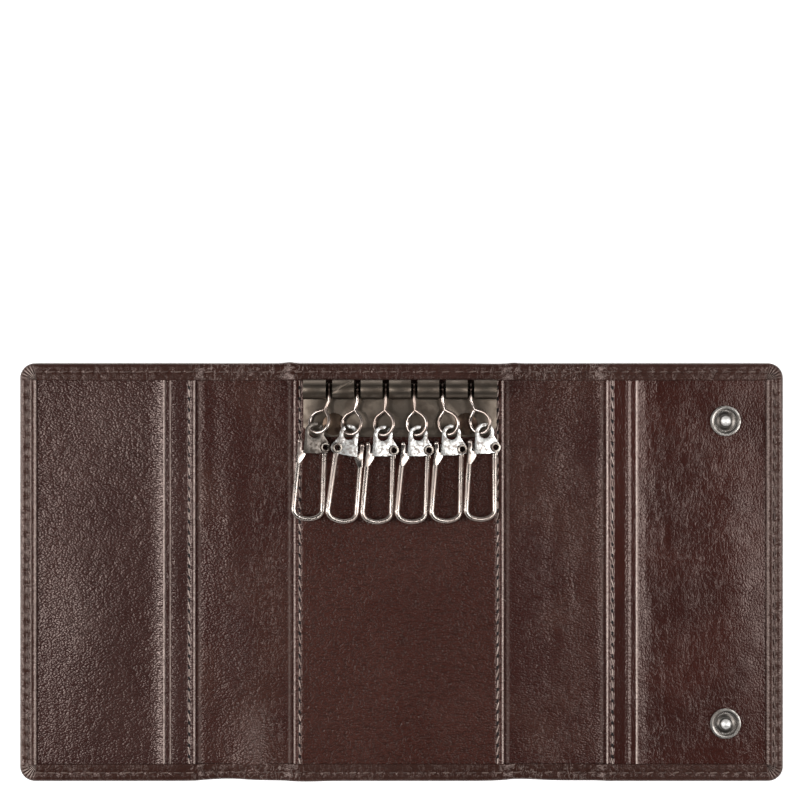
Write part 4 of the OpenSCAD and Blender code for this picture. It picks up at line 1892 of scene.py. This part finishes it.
@dataclass
class Seams:
    """Thread of every seam, and dark ovals painted as the shade in needle holes."""

    plan: CasePlan
    palette: Palette
    sink: float = 0.17
    stitch: bpy.types.NodeTree = field(default_factory=stitch_tree)
    holes: bpy.types.NodeTree = field(default_factory=hole_shade_tree)

    def panel_seam(
        self, name: str, body: str, slot: str, x: float, reach: float, pitch: float, mirror: int
    ) -> None:
        """Sews one straight seam beside a folded edge.

        Args:
            name: The seam's name.
            body: The body that it rides on.
            slot: The record's material slot of the leather.
            x: Its place across the case.
            reach: How far it goes up and down from the middle.
            pitch: Distance between two stitches.
            mirror: 1 or -1, the way that the stitches slant.
        """
        z = self.plan.top_z - self.sink
        slant = mirror * math.radians(9)
        line = line_mesh(name, [(x, -reach, z + 0.06), (x, reach, z + 0.06)])
        thread = grow(
            f"{name}_thread", line, self.stitch,
            {"Pitch": pitch * MM, "Length": 2.0 * MM, "Radius": 0.17 * MM, "Lift": 0.15 * MM,
             "Slant": slant, "Wander": math.radians(9), "Seed": 7,
             "Material": self.palette.thread},
        )
        dress(thread, body, slot)
        # Dark ovals at the needle holes, painted shade.
        start = -reach + pitch / 2
        line = line_mesh(name, [(x, start, z + 0.05), (x, start + 2 * reach, z + 0.05)])
        hole_shade_pits = grow(
            f"{name}_holes", line, self.holes,
            {"Pitch": pitch * MM, "Length": 1.25 * MM, "Width": 0.55 * MM, "Slant": slant * 2.2,
             "Material": self.palette.hole},
        )
        dress(hole_shade_pits, body, slot)

    def hem_seam(self, lines: dict[str, list[Line]], pitch: float) -> None:
        """Sews the hem of every body.

        Args:
            lines: Lines of points by body.
            pitch: Distance between two stitches.
        """
        for body, runs in lines.items():
            base = line_mesh(f"{body}_hem_line", *runs)
            thread = grow(
                f"{body}_hem_thread", base, self.stitch,
                {"Pitch": pitch * MM, "Length": 2.1 * MM, "Radius": 0.20 * MM, "Lift": 0.12 * MM,
                 "Slant": math.radians(5), "Wander": math.radians(6), "Seed": 11,
                 "Material": self.palette.hem_thread},
            )
            dress(thread, body, "outer_leather")


# Metal pieces


def smooth_copy(node: str, name: str, material: bpy.types.Material, slot: str, body: str,
                bevel: float = 0.0, angle: float = 30.0) -> bpy.types.Object:
    """A copy of a metal node with its facets smoothed and its edges broken.

    Args:
        node: The CAD node.
        name: The copy's name.
        material: Its finish.
        slot: The record's material slot.
        body: The body that it rides on.
        bevel: Width of its broken edges, in millimetres.
        angle: Edges sharper than this many degrees stay sharp.

    Returns:
        The copy, which stands for the node.
    """
    mesh = bpy.data.objects[node].data.copy()
    mesh.name = name
    work = bmesh.new()
    work.from_mesh(mesh)
    bmesh.ops.remove_doubles(work, verts=work.verts, dist=COPY_MERGE_M)
    work.to_mesh(mesh)
    work.free()
    piece = new_object(name, mesh, material)
    if bevel:
        modifier = piece.modifiers.new("edge", "BEVEL")
        modifier.width = bevel * MM
        modifier.segments = 2
        modifier.limit_method = "ANGLE"
        modifier.angle_limit = BEVEL_ANGLE
        mesh = apply_modifier(piece, modifier)
    smooth(mesh, math.radians(angle))
    return dress(piece, body, slot, node)


@dataclass
class PressSnaps:
    """Studs, caps, sockets and eyelets of the two press snaps."""

    palette: Palette
    teeth_r: float = 2.72
    teeth: int = 40

    def build(self) -> None:
        """Dresses the snaps and adds the ring of teeth in each stud."""
        for place in ("upper", "lower"):
            for kind, body in SNAP_BODIES.items():
                node = f"{kind}_{place}"
                smooth_copy(node, f"{node}_metal", self.palette.snap, "snap_metal", body, 0.06)
            self._teeth(place)

    def _teeth(self, place: str) -> None:
        """Adds the ring of teeth in the groove of one stud.

        Args:
            place: The stud, upper or lower.
        """
        low, high = node_box(f"stud_{place}")
        middle = ((low.x + high.x) / 2, (low.y + high.y) / 2, low.z + 0.30)
        base = line_mesh(f"stud_{place}_point", [middle])
        ring = grow(
            f"stud_{place}_teeth", base, serration_tree(),
            {"Ring Radius": self.teeth_r * MM, "Count": self.teeth,
             "Tooth": (0.20 * MM, 0.72 * MM, 0.22 * MM), "Material": self.palette.snap},
        )
        dress(ring, "right_flap", "snap_metal")


@dataclass
class KeyHardware:
    """The key rail with its rod and rivets, and the six links, hooks and bails."""

    palette: Palette
    count: int = 6
    shade_painted_hook: int = 1

    def build(self) -> None:
        """Dresses every piece of the hardware."""
        look = self.palette
        smooth_copy("key_rail", "key_rail_metal", look.rail, "rail_metal", "centre", 0.08)
        smooth_copy("rail_rod", "rail_rod_metal", look.rail, "rail_metal", "centre")
        smooth_copy("rail_rivets", "rail_rivets_metal", look.rivet, "rivet_metal", "centre", 0.08)
        for k in range(1, self.count + 1):
            # One hook gets the darker copy of the sheet finish, painted shade.
            sheet = look.dull if k == self.shade_painted_hook else look.bright
            link, hook, rivet, bail = f"link_{k}", f"hook_{k}", f"hook_rivet_{k}", f"bail_{k}"
            smooth_copy(link, f"{link}_wire", look.wire, "wire_metal", f"key_{link}", angle=80)
            smooth_copy(hook, f"{hook}_sheet", sheet, "hook_metal", f"snap_{hook}", 0.07)
            smooth_copy(rivet, f"{rivet}_metal", look.eye, "rivet_metal", f"snap_{hook}", 0.05)
            smooth_copy(bail, f"{bail}_wire", look.bail, "wire_metal", f"key_{bail}", 0.05,
                        angle=56)


# Studio


@dataclass(frozen=True)
class SoftBox:
    """A rectangular lamp that faces the middle of the case.

    Its angle counts from straight above, towards +X, and its swing from +X towards +Y.
    """

    name: str
    angle: float
    swing: float
    distance: float
    size: tuple[float, float]
    radiance: float

    def build(self) -> None:
        """Makes the lamp."""
        lamp = bpy.data.lights.new(self.name, "AREA")
        lamp.shape = "RECTANGLE"
        lamp.size, lamp.size_y = self.size
        lamp.energy = self.radiance * math.pi * self.size[0] * self.size[1]
        box = bpy.data.objects.new(lamp.name, lamp)
        bpy.context.scene.collection.objects.link(box)
        tilt, turn = math.radians(self.angle), math.radians(self.swing)
        flat = self.distance * math.sin(tilt)
        up = self.distance * math.cos(tilt)
        box.location = (flat * math.cos(turn), flat * math.sin(turn), up)
        box.rotation_euler = box.location.to_track_quat("Z", "Y").to_euler()


@dataclass
class Studio:
    """White floor, soft boxes at the sides and a camera straight above."""

    lens: float = 110.0
    sensor: float = 36.0
    frame_w: float = 210.5
    centre_x: float = -0.4
    centre_y: float = 45.3
    face_z: float = 3.6
    horizon: float = 0.9
    zenith: float = 0.035
    floor_half: float = 4.0
    floor_gap: float = 0.02 * MM
    floor_grey: float = 0.86
    floor_glow: float = 0.55
    boxes: tuple[SoftBox, ...] = (
        SoftBox("soft_box_left", -43, 0, 0.95, (0.34, 0.80), 8.8),
        SoftBox("soft_box_right", 42, 0, 0.95, (0.34, 0.80), 6.9),
    )

    def build(self) -> None:
        """Makes the floor, the world, the lamps and the camera."""
        self._floor()
        self._world()
        for box in self.boxes:
            box.build()
        self._camera()

    def _floor(self) -> None:
        """A large floor under the lowest piece that the camera and glossy rays see as white."""
        mesh = bpy.data.meshes.new("floor")
        half, low = self.floor_half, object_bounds()[0].z - self.floor_gap
        corners = [(-half, -half, low), (half, -half, low), (half, half, low), (-half, half, low)]
        mesh.from_pydata(corners, [], [(0, 1, 2, 3)])
        material, tree, shader = new_material("white_floor")
        shader.inputs["Base Color"].default_value = (*[self.floor_grey] * 3, 1)
        shader.inputs["Roughness"].default_value = 0.9
        shader.inputs["Specular IOR Level"].default_value = 0.1
        path = tree.add("ShaderNodeLightPath")
        seen = tree.math("MAXIMUM", path.outputs["Is Camera Ray"], path.outputs["Is Glossy Ray"])
        glow = tree.add("ShaderNodeEmission", {"Color": (1, 1, 1, 1), "Strength": self.floor_glow})
        both = tree.add("ShaderNodeAddShader", {0: shader.outputs[0], 1: glow.outputs[0]})
        inputs = {0: seen, 1: shader.outputs[0], 2: both.outputs[0]}
        mixed = tree.add("ShaderNodeMixShader", inputs)
        tree.join(mixed.outputs[0], material.node_tree.nodes["Material Output"], "Surface")
        new_object("floor", mesh, material)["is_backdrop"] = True

    def _world(self) -> None:
        """A pale world that is dark overhead."""
        world = bpy.data.worlds.new("studio")
        bpy.context.scene.world = world
        world.use_nodes = True
        tree = Tree(world.node_tree)
        back = world.node_tree.nodes["Background"]
        way = tree.add("ShaderNodeTexCoord").outputs["Generated"]
        height = tree.add("ShaderNodeSeparateXYZ", {0: way}).outputs["Z"]
        share = tree.ramp(height, 0.08, 0.62)
        low, high = (*[self.horizon] * 3, 1), (*[self.zenith] * 3, 1)
        tree.join(tree.blend(share, low, high), back, "Color")
        back.inputs["Strength"].default_value = 1.0

    def _camera(self) -> None:
        """The camera straight above, as far off as its long lens asks for."""
        data = bpy.data.cameras.new("camera")
        data.lens = self.lens
        data.sensor_width = self.sensor
        camera = bpy.data.objects.new("camera", data)
        bpy.context.scene.collection.objects.link(camera)
        away = (self.frame_w * self.lens / self.sensor + self.face_z) * MM
        camera.location = (self.centre_x * MM, self.centre_y * MM, away)
        camera.rotation_euler = (0, 0, 0)
        bpy.context.scene.camera = camera


def main() -> None:
    """Builds the case from its leather to its hardware, then the studio."""
    logging.basicConfig(level=logging.INFO, format="%(message)s")
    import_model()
    bpy.context.scene.view_settings.view_transform = "Standard"
    plan = CasePlan.read()
    palette = Palette.mix()
    outer = OuterLeather(plan, palette)
    outer.build()
    Lining(plan, palette).build(outer.zones)
    flats = FlatPieces(plan, palette)
    seams = Seams(plan, palette)
    reach = plan.half_h - outer.hem_w - 0.4
    for name, x, mirror in zip(("panel_left", "panel_right"), flats.panel(), (1, -1)):
        seams.panel_seam(name, "centre", "panel_leather", x, reach, flats.seam_pitch, mirror)
    for side in Side:
        seam = flats.pocket(side)
        body = f"{side.name.lower()}_flap"
        name = f"{side.name.lower()}_pocket"
        seams.panel_seam(name, body, "pocket_leather", seam, reach, flats.seam_pitch, 1)
    seams.hem_seam(outer.seam_lines(), outer.stitch_pitch)
    PressSnaps(palette).build()
    KeyHardware(palette).build()
    Studio().build()


if __name__ == "__main__":
    main()
